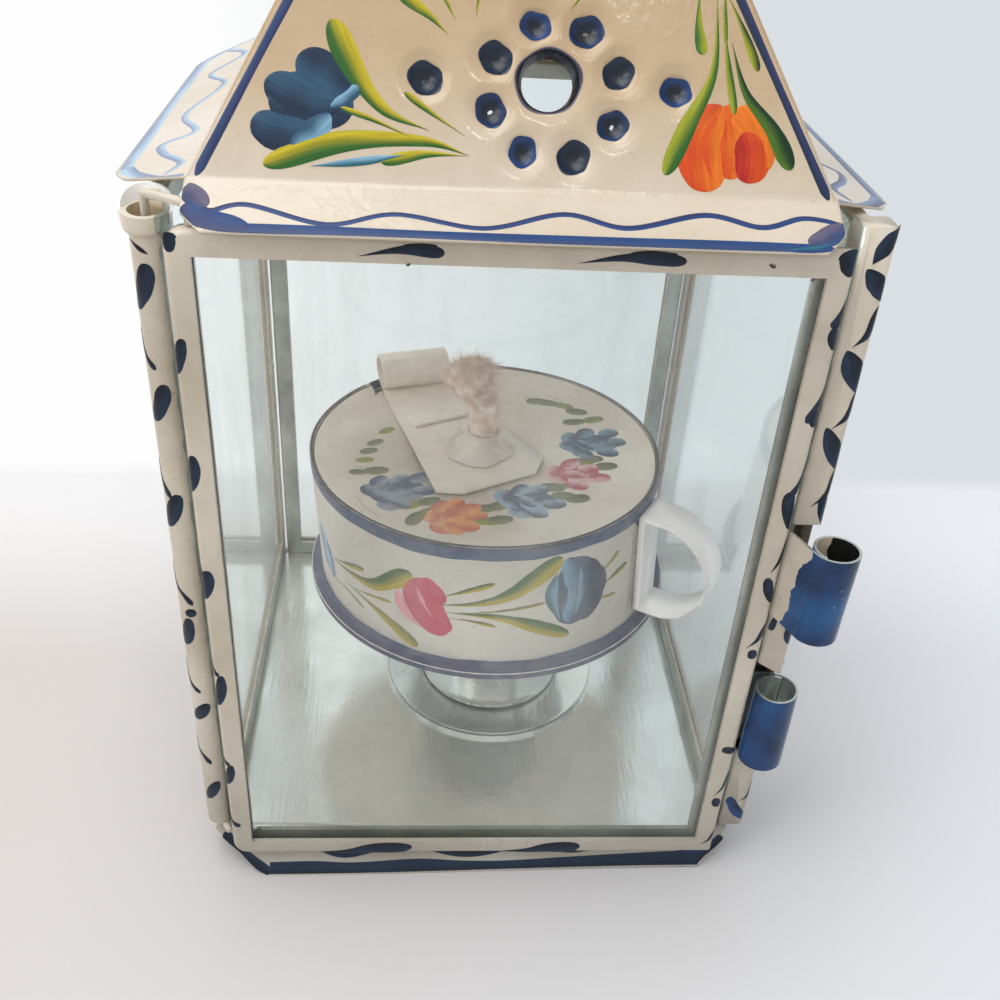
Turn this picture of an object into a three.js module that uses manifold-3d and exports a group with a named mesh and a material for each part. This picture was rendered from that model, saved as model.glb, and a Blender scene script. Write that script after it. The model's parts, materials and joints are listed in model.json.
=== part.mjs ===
// A square lantern of painted tinplate with four glass sides, a hinged glass door, a pierced
// pyramid roof and a lift-out oil burner. Millimetres, +Z up, the door faces -Y.
import * as THREE from "three";
import { mergeVertices } from "three/addons/utils/BufferGeometryUtils.js";
import Module from "manifold-3d";

const wasm = await Module();
wasm.setup();

// Sheet, glass, wire and the gaps between pieces
const sheet = 0.9;
const strapSheet = 0.6;
const glassThickness = 2.4;
const glassPlay = 0.3;
const solderGap = 0.3;
const bendRadius = 0.9;

// Glazed frames: each is four folded channels round a pane
const flange = 5;
const paneGrip = 3.2;
const doorWidth = 129.6;
const doorHeight = 173.4;
const doorLift = 8;
const doorSideGap = 0.8;
const doorCornerRadius = 4;
const frameCornerRadius = 0.8;
const bodyDepth = 136;
const sideFrontSetback = 10;
const frameRise = 3.7;

// Base tray: one sheet with four flaps bent down and hemmed
const floorTop = 10.5;
const traySetback = 2.2;
const trayFrontOut = 7;
const trayBackOut = 4;
const traySideOut = 1.2;
const trayEndCut = 11.5;
const trayFrontSkew = 3.7;
const hemWidth = 2.5;
const flapLap = 3;

// Hinge tube down the left front corner and the wire that turns in it
const hingeTubeRadius = 3.5;
const hingeTubeFoot = 16;
const hingeTubeDrop = 0.6;
const hingeTubeOut = 3;
const tubeOverlap = 0.6;
const hingeWireRadius = 0.9;
const hingeWireSet = 0.18;

// Flat latch post down the right front corner
const latchPostWidth = 7.4;
const latchPostDepth = 7.6;
const latchPostRise = 0.4;
const latchPostRound = 1.6;
const latchPostHeadCut = 1.5;

// Rolled latch tubes, one on the body and one on the door
const latchTubeRadius = 5.15;
const latchTubeLength = 23.5;
const bodyLatchHeight = 45.3;
const bodyLatchOut = 6.1;
const doorLatchHeight = 92.6;
const doorLatchOut = 9.5;
const doorLatchForward = 5;
const doorLatchRoot = 1.6;
const bodyLatchForward = 1.4;
const rollTurn = 6.9;
const rollClosed = 1.15;
const rollGap = 0.3;
const notchPlay = 0.8;
const notchFloor = 2;

// Roof: four bent panels, steep above the crease and shallow below it
const roofSeat = 4.2;
const creaseInsetX = 4.8;
const creaseInsetY = 5;
const roofRise = 80;
const roofAngle = 60.255;
const eaveDrop = 5.8;
const frontEaveOut = 11.5;
const sideEaveOut = 17.5;
const frontEaveReach = 0.5;
const frontEaveChamfer = 4;
const sideEaveShort = 18;
const sideEaveChamfer = 6;
const creaseBend = 2;
const creaseRoundRatio = 0.18;
const outlineSpare = 1;
const cutSpare = 10;

// Vent rosette punched in every roof panel
const ventRadius = 6;
const ventUp = 20;
const ventShift = 5;
const ventLip = 1.8;
const ventDraft = 0.2;
const dimpleRadius = 3.1;
const dimpleDepth = 1.9;
const dimpleHole = 0.9;
const dimpleCircle = 12.3;
const dimpleCount = 8;
const dimplePhase = 0.35;
const outerDimpleReach = 23.2;

// Cap, lug and carrying ring above the roof
const capOverhang = 3;
const capRim = 4;
const lugWidth = 6;
const lugFoot = 4.5;
const lugPlay = 0.9;
const lugLeg = 2.3;
const ringRadius = 16;
const ringWireRadius = 1.5;

// Burner socket and drip dish on the floor, a little off the middle as soldered by hand. The
// socket and the burner in it lean to the left by burnerLean for every unit of height.
const burnerX = 6.3;
const burnerY = 6;
const burnerLean = 0.06;
const socketRadius = 19;
const socketHeight = 42;
const socketFoot = 2.5;
const spigotPlay = 0.4;
const spigotDepth = 10;
const dishRadius = 32;
const dishRim = 1.6;

// Burner: a round drum on a wider base plate, with a sunk lid
const drumRoom = 15.5;
const drumHeight = 39.5;
const baseFlange = 3.2;
const lidSink = 3;
const lidStep = 2.7;
const wickHole = 6.4;
const handleAzimuth = -31;
const handleWidth = 11.5;
const handleReach = 20.5;
const handleStraight = 5.4;
const handleHeight = 31;
const handleTopDrop = 3.2;

// Wick carrier: a tapered plate with a finger curl, lying on the lid
const carrierTurn = 16.3;
const carrierLeft = -19.8;
const carrierCurlWidth = 20.9;
const carrierFrontWidth = 34.3;
const carrierFront = -18.8;
const carrierCorner = 7;
const carrierLeftCut = 2.7;
const carrierRightCut = 4.4;
const carrierFrontSkew = 4.9;
const carrierRightEnd = 11.4;
const curlInset = 7;
const curlRadius = 5.4;
const curlLift = 1.3;
const curlRamp = 8;
const curlTurn = 5.9;
const rimNotch = 7.6;
const rimNotchDepth = 6;
const crossStripLength = 26;
const crossStripWidth = 5.8;
const crossStripBack = 22;
const crossStripTurn = 10;
const wickX = -2;
const wickTubeRadius = 5;
const wickTubeRise = 7.4;
const wickTubeDrop = 9;
const solderConeRadius = 8.6;
const solderConeHeight = 4;
const solderEdge = 0.8;
const wickRise = 21.5;
const wickHeadRadius = 6.9;
const wickTipRadius = 2.9;
const wickDrop = 26;

// Places worked out from the sizes above
const channelDepth = glassThickness + 2 * (glassPlay + sheet);
const bodyFront = -bodyDepth / 2;
const bodyBack = bodyDepth / 2;
const doorBack = bodyFront + channelDepth;
const sideInner = doorWidth / 2 + doorSideGap;
const sideOuter = sideInner + channelDepth;
const sideFront = bodyFront + sideFrontSetback;
const frameFoot = floorTop + solderGap;
const frameTop = doorLift + doorHeight + frameRise;
const frameHeight = frameTop - frameFoot;
const trayFront = doorBack + traySetback;
const hingeTubeTop = frameTop - hingeTubeDrop;
const latchPostTop = frameTop + latchPostRise;
const hingeX = -(sideInner + hingeTubeOut);
const hingeY = sideFront - hingeTubeRadius + tubeOverlap;
const creaseHeight = frameTop + roofSeat;
const creaseHalfWidth = doorWidth / 2 - creaseInsetX;
const creaseHalfDepth = bodyDepth / 2 - creaseInsetY;
const frontEaveEnd = creaseHalfWidth + frontEaveReach;
const sideEaveEnd = creaseHalfDepth - sideEaveShort;
const roofTopHeight = creaseHeight + roofRise;
const roofSlope = Math.tan(THREE.MathUtils.degToRad(roofAngle));
const roofRun = roofRise / roofSlope;
const drumRadius = doorWidth / 2 - drumRoom;
const curlDistance = drumRadius - curlInset;
const socketTop = floorTop + socketHeight;
const burnerBaseZ = socketTop + solderGap;
const drumFoot = burnerBaseZ + sheet + solderGap;
const drumTop = drumFoot + drumHeight;
const lidTop = drumTop - lidSink;

const enamel = new THREE.MeshStandardMaterial({ color: 0xd8cbb8, roughness: 0.35, metalness: 0.0 });
const roofEnamel = new THREE.MeshStandardMaterial({ color: 0xd2bd9c, roughness: 0.25, metalness: 0.0 });
const burnerEnamel = new THREE.MeshStandardMaterial({ color: 0xcfcbc0, roughness: 0.5, metalness: 0.0 });
const blueEnamel = new THREE.MeshStandardMaterial({ color: 0x2a4c80, roughness: 0.25, metalness: 0.0 });
const bareTin = new THREE.MeshStandardMaterial({ color: 0xb8bcbb, roughness: 0.25, metalness: 1.0 });
const wireSteel = new THREE.MeshStandardMaterial({ color: 0x8e9792, roughness: 0.4, metalness: 1.0 });
const cottonWick = new THREE.MeshStandardMaterial({ color: 0xc9b5a0, roughness: 1.0, metalness: 0.0 });
const clearGlass = new THREE.MeshStandardMaterial({
  color: 0xd5e2df,
  roughness: 0.03,
  metalness: 0.0,
  transparent: true,
  opacity: 0.3,
});

// Solids

// A closed geometry as a solid that can be joined and cut.
function solid(geometry) {
  const bare = geometry.index ? geometry.toNonIndexed() : geometry.clone();
  bare.deleteAttribute("normal");
  bare.deleteAttribute("uv");
  const welded = mergeVertices(bare, 1e-4);
  const corners = welded.index.array;
  const kept = [];
  for (let i = 0; i < corners.length; i += 3) {
    const [a, b, c] = [corners[i], corners[i + 1], corners[i + 2]];
    if (a !== b && b !== c && c !== a) kept.push(a, b, c);
  }
  return new wasm.Manifold(new wasm.Mesh({
    numProp: 3,
    vertProperties: new Float32Array(welded.attributes.position.array),
    triVerts: new Uint32Array(kept),
  }));
}

function geometryOf(body) {
  const mesh = body.getMesh();
  const geometry = new THREE.BufferGeometry();
  geometry.setAttribute("position", new THREE.BufferAttribute(new Float32Array(mesh.vertProperties), 3));
  geometry.setIndex(new THREE.BufferAttribute(new Uint32Array(mesh.triVerts), 1));
  geometry.computeVertexNormals();
  return geometry;
}

function joined(pieces) {
  return pieces.reduce((whole, piece) => whole.add(piece));
}

// A solid moved by a three.js matrix.
function moved(body, matrix) {
  const geometry = geometryOf(body);
  geometry.applyMatrix4(matrix);
  return solid(geometry);
}

function shifted(body, x, y, z) {
  return moved(body, new THREE.Matrix4().makeTranslation(x, y, z));
}

function turnedAboutZ(body, degrees) {
  return moved(body, new THREE.Matrix4().makeRotationZ(THREE.MathUtils.degToRad(degrees)));
}

function box(x0, x1, y0, y1, z0, z1) {
  const geometry = new THREE.BoxGeometry(x1 - x0, y1 - y0, z1 - z0);
  geometry.translate((x0 + x1) / 2, (y0 + y1) / 2, (z0 + z1) / 2);
  return solid(geometry);
}

function shapeOf(points) {
  return new THREE.Shape(points.map(([x, y]) => new THREE.Vector2(x, y)));
}

// An outline in X and Y, raised from z0 to z1.
function raised(shape, z0, z1) {
  const geometry = new THREE.ExtrudeGeometry(shape, {
    depth: z1 - z0,
    bevelEnabled: false,
    curveSegments: 4,
  });
  geometry.translate(0, 0, z0);
  return solid(geometry);
}

// A profile drawn in Y and Z, drawn out along X from x0 to x1.
function drawnAlongX(shape, x0, x1) {
  const geometry = new THREE.ExtrudeGeometry(shape, {
    depth: x1 - x0,
    bevelEnabled: false,
    curveSegments: 8,
  });
  const axes = new THREE.Matrix4().makeBasis(
    new THREE.Vector3(0, 1, 0),
    new THREE.Vector3(0, 0, 1),
    new THREE.Vector3(1, 0, 0),
  );
  geometry.applyMatrix4(axes);
  geometry.translate(x0, 0, 0);
  return solid(geometry);
}

// An outline drawn in X and Z, as deep as y0 to y1.
function drawnAlongY(shape, y0, y1) {
  const geometry = new THREE.ExtrudeGeometry(shape, {
    depth: y1 - y0,
    bevelEnabled: false,
    curveSegments: 8,
  });
  geometry.rotateX(Math.PI / 2);
  geometry.translate(0, y1, 0);
  return solid(geometry);
}

// A closed profile of [radius, height] points turned about Z.
function turned(profile, sides) {
  const points = profile.map(([radius, height]) => new THREE.Vector2(radius, height));
  if (THREE.ShapeUtils.isClockWise(points)) points.reverse();
  const open = points[0].x > 0 || points[points.length - 1].x > 0;
  if (open) points.push(points[0].clone());
  const geometry = new THREE.LatheGeometry(points, sides);
  geometry.rotateX(Math.PI / 2);
  return solid(geometry);
}

function disc(radius, z0, z1, sides) {
  return turned([[0, z0], [radius, z0], [radius, z1], [0, z1]], sides);
}

// Bent sheet: a centreline of [x, y] points given a thickness, with mitred corners.
function bentStrip(centreline, thickness) {
  const left = [];
  const right = [];
  const last = centreline.length - 1;
  centreline.forEach(([x, y], i) => {
    const [px, py] = centreline[Math.max(i - 1, 0)];
    const [nx, ny] = centreline[Math.min(i + 1, last)];
    const arriving = new THREE.Vector2(x - px, y - py).normalize();
    const leaving = new THREE.Vector2(nx - x, ny - y).normalize();
    const along = i === 0 ? leaving : i === last ? arriving : arriving.clone().add(leaving).normalize();
    const bend = i === 0 || i === last ? 1 : Math.max(along.dot(arriving), 0.3);
    const reach = thickness / 2 / bend;
    left.push([x - along.y * reach, y + along.x * reach]);
    right.unshift([x + along.y * reach, y - along.x * reach]);
  });
  return shapeOf([...left, ...right]);
}

function arc(cx, cy, radius, from, to, steps) {
  return Array.from({ length: steps + 1 }, (_, i) => {
    const angle = from + ((to - from) * i) / steps;
    return [cx + radius * Math.cos(angle), cy + radius * Math.sin(angle)];
  });
}

// A round wire through the given points, with ball-shaped bends.
function wire(points, radius, sides) {
  const stations = points.map((p) => new THREE.Vector3(...p));
  const pieces = [];
  for (let i = 1; i < stations.length; i += 1) {
    const reach = stations[i].clone().sub(stations[i - 1]);
    const length = reach.length();
    const rod = new THREE.CylinderGeometry(radius, radius, length, sides);
    rod.rotateX(Math.PI / 2);
    rod.translate(0, 0, length / 2);
    const turn = new THREE.Quaternion().setFromUnitVectors(new THREE.Vector3(0, 0, 1), reach.normalize());
    rod.applyQuaternion(turn);
    rod.translate(...stations[i - 1].toArray());
    pieces.push(solid(rod));
    if (i < stations.length - 1) {
      const bend = new THREE.SphereGeometry(radius, sides, sides / 2);
      bend.translate(...stations[i].toArray());
      pieces.push(solid(bend));
    }
  }
  return joined(pieces);
}

// Scene graph

const lantern = new THREE.Group();

function addPart(name, body, material, holder = lantern) {
  const mesh = new THREE.Mesh(geometryOf(body), material);
  mesh.name = name;
  holder.add(mesh);
  return mesh;
}

// Glazed frames, drawn flat: X across, Z up from the frame's foot, the outside facing -Y

function frameOutline(width, height, leftRadius, rightRadius) {
  const half = width / 2;
  const shape = new THREE.Shape();
  shape.moveTo(-half + leftRadius, 0);
  shape.lineTo(half - rightRadius, 0);
  shape.absarc(half - rightRadius, rightRadius, rightRadius, -Math.PI / 2, 0);
  shape.lineTo(half, height - rightRadius);
  shape.absarc(half - rightRadius, height - rightRadius, rightRadius, 0, Math.PI / 2);
  shape.lineTo(-half + leftRadius, height);
  shape.absarc(-half + leftRadius, height - leftRadius, leftRadius, Math.PI / 2, Math.PI);
  shape.lineTo(-half, leftRadius);
  shape.absarc(-half + leftRadius, leftRadius, leftRadius, Math.PI, 1.5 * Math.PI);
  return shape;
}

// One folded channel along X, open upwards, its web on z = 0.
function channel(length) {
  const wall = channelDepth / 2 - sheet / 2;
  const floor = sheet / 2;
  const profile = [
    [-wall, flange],
    ...arc(-wall + bendRadius, floor + bendRadius, bendRadius, Math.PI, 1.5 * Math.PI, 3),
    ...arc(wall - bendRadius, floor + bendRadius, bendRadius, 1.5 * Math.PI, 2 * Math.PI, 3),
    [wall, flange],
  ];
  return drawnAlongX(bentStrip(profile, sheet), -length / 2, length / 2);
}

// The four channels of a frame, mitred at the corners with a solder seam between them.
function frameChannels(width, height, leftRadius, rightRadius) {
  const seam = solderGap * Math.SQRT1_2;
  const corner = flange + 1;
  const outline = drawnAlongY(frameOutline(width, height, leftRadius, rightRadius), -channelDepth, channelDepth);
  function side(length, quarterTurns, x, z) {
    const half = length / 2;
    const mitre = shapeOf([
      [-half + seam, -1e-3],
      [half - seam, -1e-3],
      [half - seam - corner, corner],
      [-half + seam + corner, corner],
    ]);
    const cut = channel(length).intersect(drawnAlongY(mitre, -channelDepth, channelDepth));
    const place = new THREE.Matrix4()
      .makeTranslation(x, 0, z)
      .multiply(new THREE.Matrix4().makeRotationY(-quarterTurns * Math.PI / 2));
    return moved(cut, place).intersect(outline);
  }
  return {
    bottom: side(width, 0, 0, 0),
    right: side(height, 1, width / 2, height / 2),
    top: side(width, 2, 0, height),
    left: side(height, 3, -width / 2, height / 2),
  };
}

function pane(width, height) {
  const inset = flange - paneGrip;
  const half = width / 2 - inset;
  return box(-half, half, -glassThickness / 2, glassThickness / 2, inset, height - inset);
}

// A frame drawn flat, stood where it belongs: turned about Z, then moved.
function standing(body, degrees, x, y, z) {
  return shifted(turnedAboutZ(body, degrees), x, y, z);
}

const sideLength = bodyBack - sideFront;
const sideMiddle = (bodyBack + sideFront) / 2;
const sideCentreX = sideInner + channelDepth / 2;

function addBackPanel() {
  const width = doorWidth;
  const parts = frameChannels(width, frameHeight, frameCornerRadius, frameCornerRadius);
  const y = bodyBack - channelDepth / 2;
  const place = (body) => standing(body, 180, 0, y, frameFoot);
  addPart("back_bottom_rail", place(parts.bottom), enamel);
  addPart("back_top_rail", place(parts.top), enamel);
  addPart("back_left_stile", place(parts.right), enamel);
  addPart("back_right_stile", place(parts.left), enamel);
  addPart("back_glass", place(pane(width, frameHeight)), clearGlass);
}

function addLeftPanel() {
  const parts = frameChannels(sideLength, frameHeight, frameCornerRadius, frameCornerRadius);
  const place = (body) => standing(body, -90, -sideCentreX, sideMiddle, frameFoot);
  addPart("left_bottom_rail", place(parts.bottom), enamel);
  addPart("left_top_rail", place(parts.top), enamel);
  addPart("left_rear_stile", place(parts.left), enamel);
  addPart("left_hinge_post", place(parts.right).add(hingeTube()), enamel);
  addPart("left_glass", place(pane(sideLength, frameHeight)), clearGlass);
}

function addRightPanel() {
  const parts = frameChannels(sideLength, frameHeight, frameCornerRadius, frameCornerRadius);
  const place = (body) => standing(body, 90, sideCentreX, sideMiddle, frameFoot);
  addPart("right_bottom_rail", place(parts.bottom), enamel);
  addPart("right_top_rail", place(parts.top), enamel);
  addPart("right_rear_stile", place(parts.right), enamel);
  addPart("right_latch_post", place(parts.left).add(latchPostTube()), enamel);
  addPart("right_glass", place(pane(sideLength, frameHeight)), clearGlass);
}

// The left front edge is rolled into an open tube that the hinge wire turns in.
function hingeTube() {
  const inner = hingeTubeRadius - sheet;
  const ring = turned([
    [inner, hingeTubeFoot],
    [hingeTubeRadius, hingeTubeFoot],
    [hingeTubeRadius, hingeTubeTop],
    [inner, hingeTubeTop],
  ], 24);
  return shifted(ring, hingeX, hingeY, 0);
}

// The right front edge is rolled flat, closed at the top and cut away behind the latch tubes.
function latchPostTube() {
  const front = sideFront - latchPostDepth + tubeOverlap;
  const back = sideFront + tubeOverlap;
  const outerX = sideInner + latchPostWidth;
  const outer = roundedBar(sideInner, outerX, front, back, latchPostRound, hingeTubeFoot, latchPostTop);
  const hollow = roundedBar(
    sideInner + sheet,
    outerX - sheet,
    front + sheet,
    back - sheet,
    latchPostRound / 2,
    hingeTubeFoot - 1,
    latchPostTop - sheet,
  );
  const notches = [bodyLatchHeight, doorLatchHeight].map((foot) => box(
    sideInner - 1,
    outerX + 1,
    front - 1,
    sideFront - notchFloor,
    foot - notchPlay,
    foot + latchTubeLength + notchPlay,
  ));
  const headCut = frameTop - latchPostHeadCut;
  const mitreRoom = box(sideInner - 1, outerX + 1, sideFront, back + 1, headCut, latchPostTop + 1);
  return outer.subtract(hollow).subtract(joined(notches)).subtract(mitreRoom);
}

function roundedBar(x0, x1, y0, y1, radius, z0, z1) {
  const shape = new THREE.Shape();
  shape.moveTo(x0 + radius, y0);
  shape.absarc(x1 - radius, y0 + radius, radius, -Math.PI / 2, 0);
  shape.absarc(x1 - radius, y1 - radius, radius, 0, Math.PI / 2);
  shape.absarc(x0 + radius, y1 - radius, radius, Math.PI / 2, Math.PI);
  shape.absarc(x0 + radius, y0 + radius, radius, Math.PI, 1.5 * Math.PI);
  return raised(shape, z0, z1);
}

// Latch tubes: a strap leaves its root, meets a circle at a tangent and rolls up on itself
function rolledStrap(rootX, rootY, cx, cy, turnSign) {
  const radius = latchTubeRadius - strapSheet / 2;
  const reach = Math.hypot(rootX - cx, rootY - cy);
  const bearing = Math.atan2(rootY - cy, rootX - cx);
  const start = bearing + turnSign * Math.acos(radius / reach);
  const pitch = strapSheet + rollGap;
  const steps = 30;
  const roll = Array.from({ length: steps + 1 }, (_, i) => {
    const swept = (rollTurn * i) / steps;
    const shrink = pitch * Math.min(swept / (2 * Math.PI), rollClosed);
    const angle = start + turnSign * swept;
    return [cx + (radius - shrink) * Math.cos(angle), cy + (radius - shrink) * Math.sin(angle)];
  });
  return bentStrip([[rootX, rootY], ...roll], strapSheet);
}

function addBodyLatch() {
  const cx = sideInner + bodyLatchOut;
  const cy = sideFront - latchPostDepth - bodyLatchForward;
  const rootX = sideInner + sheet / 2;
  const rootY = sideFront - notchFloor - solderGap - strapSheet / 2;
  const strap = raised(rolledStrap(rootX, rootY, cx, cy, -1), bodyLatchHeight, bodyLatchHeight + latchTubeLength);
  addPart("body_latch_tube", strap, blueEnamel);
}

const doorLatchX = doorWidth / 2 + doorLatchOut;
const doorLatchY = bodyFront - doorLatchForward;

function addDoorLatch(holder) {
  const rootX = doorWidth / 2 + solderGap + strapSheet / 2;
  const rootY = bodyFront + doorLatchRoot;
  const outline = rolledStrap(rootX, rootY, doorLatchX, doorLatchY, 1);
  const strap = raised(outline, doorLatchHeight, doorLatchHeight + latchTubeLength);
  addPart("door_latch_tube", strap, blueEnamel, holder);
}

// Door and its hinge wire

function addDoor() {
  const door = new THREE.Group();
  const parts = frameChannels(doorWidth, doorHeight, doorCornerRadius, frameCornerRadius);
  const y = bodyFront + channelDepth / 2;
  const place = (body) => shifted(body, 0, y, doorLift);
  addPart("door_bottom_rail", place(parts.bottom), enamel, door);
  addPart("door_top_rail", place(parts.top), enamel, door);
  addPart("door_left_stile", place(parts.left), enamel, door);
  addPart("door_right_stile", place(parts.right), enamel, door);
  addPart("door_glass", place(pane(doorWidth, doorHeight)), clearGlass, door);
  addPart("hinge_wire", hingeWire(y), wireSteel, door);
  addDoorLatch(door);
  lantern.add(door);
}

// The wire runs down the tube; both ends are cranked over to the door.
function hingeWire(doorMiddleY) {
  const footZ = hingeTubeFoot - solderGap - hingeWireRadius;
  const headZ = hingeTubeTop + solderGap + hingeWireRadius;
  const doorEdge = -doorWidth / 2 - solderGap;
  const doorHead = doorLift + doorHeight + solderGap;
  const overDoor = -doorWidth / 2 + doorCornerRadius + 1;
  return wire([
    [doorEdge - hingeWireRadius + hingeWireSet, doorMiddleY, footZ],
    [hingeX, hingeY, footZ],
    [hingeX, hingeY, headZ],
    [overDoor, doorMiddleY, headZ],
    [overDoor, doorMiddleY, doorHead],
  ], hingeWireRadius, 10);
}

// Base tray

// One flap drawn for the front: bent down and out from the crease, hemmed inwards at the foot,
// with the foot shifted sideways by `skew`.
function trayFlap(creaseY, outwards, halfTop, endCut, skew = 0) {
  const top = floorTop - sheet / 2;
  const hem = sheet / 2;
  const toe = creaseY - outwards;
  const profile = bentStrip([
    [creaseY + flapLap, top],
    [creaseY + bendRadius, top],
    [creaseY, top - bendRadius],
    [toe, hem],
    [toe + hemWidth, hem],
  ], sheet);
  const face = shapeOf([
    [-halfTop, floorTop + 1],
    [-halfTop, floorTop - sheet],
    [-halfTop + endCut + skew, 0],
    [halfTop - endCut + skew, 0],
    [halfTop, floorTop - sheet],
    [halfTop, floorTop + 1],
  ]);
  return drawnAlongX(profile, -halfTop, halfTop)
    .intersect(drawnAlongY(face, toe - sheet, creaseY + flapLap + sheet));
}

function addBaseTray() {
  const floorDepth = bodyBack - trayFront;
  const floor = box(-sideOuter + 1, sideOuter - 1, trayFront + 1, bodyBack - 1, floorTop - sheet, floorTop);
  const middle = (bodyBack + trayFront) / 2;
  const front = trayFlap(trayFront, trayFrontOut, sideOuter, trayEndCut, trayFrontSkew);
  const back = turnedAboutZ(trayFlap(-bodyBack, trayBackOut, sideOuter, trayEndCut), 180);
  const halfDepth = floorDepth / 2;
  const side = trayFlap(-sideOuter, traySideOut, halfDepth, trayEndCut);
  const right = shifted(turnedAboutZ(side, 90), 0, middle, 0);
  const left = shifted(turnedAboutZ(side, -90), 0, middle, 0);
  addPart("base_tray", joined([floor, front, back, left, right]), bareTin);
}

// Socket and drip dish

function addSocket() {
  const foot = floorTop + solderGap + sheet;
  const inner = socketRadius - sheet;
  const cup = turned([
    [0, foot],
    [socketRadius + socketFoot, foot],
    [socketRadius + socketFoot, foot + sheet],
    [socketRadius, foot + sheet],
    [socketRadius, socketTop],
    [inner, socketTop],
    [inner, foot + sheet],
    [0, foot + sheet],
  ], 40);
  const socketMiddle = burnerX + burnerLean * floorTop;
  addPart("burner_socket", shifted(leaning(cup), socketMiddle, burnerY, 0), bareTin);
  const dishFoot = floorTop + solderGap;
  const plate = sheet - solderGap;
  const dish = turned([
    [0, dishFoot],
    [dishRadius, dishFoot],
    [dishRadius + sheet, dishFoot + dishRim],
    [dishRadius, dishFoot + dishRim],
    [dishRadius - sheet, dishFoot + plate],
    [0, dishFoot + plate],
  ], 48);
  addPart("drip_dish", shifted(dish, burnerX, burnerY, 0), bareTin);
}

// Roof

// One roof panel drawn for the front: crease `away` from the middle and `half` long each way.
// `ends` gives the eave's end as [half length, distance from the middle] points.
function roofPanel(away, half, out, ends) {
  const seam = solderGap / 2;
  const steep = Math.atan(roofSlope);
  const shallow = Math.atan2(eaveDrop, out);
  const bend = (steep - shallow) / 2;
  const tangent = creaseBend * Math.tan(bend);
  const up = [Math.cos(steep), Math.sin(steep)];
  const down = [-Math.cos(shallow), -Math.sin(shallow)];
  const profile = [
    [-away + (roofRun + 1), creaseHeight + (roofRun + 1) * roofSlope],
    [-away + up[0] * tangent, creaseHeight + up[1] * tangent],
    [-away, creaseHeight + tangent * creaseRoundRatio],
    [-away + down[0] * tangent, creaseHeight + down[1] * tangent],
    [-away - out, creaseHeight - eaveDrop],
  ];
  const topHalf = half - roofRun - seam;
  const topAway = away - roofRun;
  const right = [[half - seam, away], ...ends];
  const outline = shapeOf([
    ...right.map(([x, y]) => [x, -y]),
    ...right.slice().reverse().map(([x, y]) => [-x, -y]),
    [-topHalf, -topAway],
    [topHalf, -topAway],
  ].reverse());
  const blank = drawnAlongX(bentStrip(profile, sheet), -half - 1, half + 1)
    .intersect(raised(outline, creaseHeight - 2 * cutSpare, roofTopHeight + cutSpare));
  return punched(blank, away);
}

// The rosette: a round vent in the middle, a ring of punched dimples and one more each side.
function punched(blank, away) {
  const steep = Math.atan(roofSlope);
  const reach = ventUp;
  const centre = [
    ventShift,
    -away + reach * Math.cos(steep),
    creaseHeight + reach * Math.sin(steep),
  ];
  const places = Array.from({ length: dimpleCount }, (_, i) => {
    const angle = (2 * Math.PI * (i + dimplePhase)) / dimpleCount;
    return [dimpleCircle * Math.cos(angle), dimpleCircle * Math.sin(angle)];
  });
  places.push([outerDimpleReach, 0], [-outerDimpleReach, 0]);
  const plane = new THREE.Matrix4().makeTranslation(...centre)
    .multiply(new THREE.Matrix4().makeRotationX(steep));
  const backs = [ventBack()];
  const mouths = [ventMouth()];
  places.forEach(([x, y]) => {
    backs.push(shifted(dimpleBack(), x, y, 0));
    mouths.push(shifted(dimpleMouth(), x, y, 0));
  });
  return blank.add(moved(joined(backs), plane)).subtract(moved(joined(mouths), plane));
}

function ventBack() {
  return turned([
    [0, 0],
    [ventRadius + sheet, 0],
    [ventRadius + sheet * 0.7, -sheet / 2 - ventLip],
    [0, -sheet / 2 - ventLip],
  ], 24);
}

function ventMouth() {
  return turned([
    [0, sheet],
    [ventRadius + sheet, sheet],
    [ventRadius + sheet, sheet / 2],
    [ventRadius, -sheet / 2],
    [ventRadius - ventDraft, -sheet - ventLip - 1],
    [0, -sheet - ventLip - 1],
  ], 24);
}

function dimpleBack() {
  return turned([
    [0, 0],
    [dimpleRadius + sheet * 0.4, 0],
    [dimpleHole + sheet, -sheet / 2 - dimpleDepth],
    [0, -sheet / 2 - dimpleDepth],
  ], 10);
}

function dimpleMouth() {
  return turned([
    [0, sheet],
    [dimpleRadius, sheet],
    [dimpleRadius, sheet / 2],
    [dimpleHole, -dimpleDepth],
    [dimpleHole, -sheet - dimpleDepth],
    [0, -sheet - dimpleDepth],
  ], 10);
}

function addRoof() {
  const frontEnds = [
    [frontEaveEnd, creaseHalfDepth + frontEaveOut - frontEaveChamfer - outlineSpare],
    [frontEaveEnd - frontEaveChamfer, creaseHalfDepth + frontEaveOut + outlineSpare],
  ];
  const mitre = creaseHalfDepth - creaseHalfWidth;
  const sideEnds = [
    [sideEaveEnd + sideEaveChamfer, creaseHalfWidth + sideEaveOut - mitre],
    [sideEaveEnd, creaseHalfWidth + sideEaveOut + outlineSpare],
  ];
  const front = roofPanel(creaseHalfDepth, creaseHalfWidth, frontEaveOut, frontEnds);
  const side = roofPanel(creaseHalfWidth, creaseHalfDepth, sideEaveOut, sideEnds);
  addPart("roof_front", front, roofEnamel);
  addPart("roof_back", turnedAboutZ(front, 180), roofEnamel);
  addPart("roof_right", turnedAboutZ(side, 90), roofEnamel);
  addPart("roof_left", turnedAboutZ(side, -90), roofEnamel);
}

const capHalfX = creaseHalfWidth - roofRun + capOverhang;
const capHalfY = creaseHalfDepth - roofRun + capOverhang;
const capTop = roofTopHeight + solderGap + 2 * sheet;
const ringPivotZ = capTop + solderGap + sheet + lugLeg;

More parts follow.
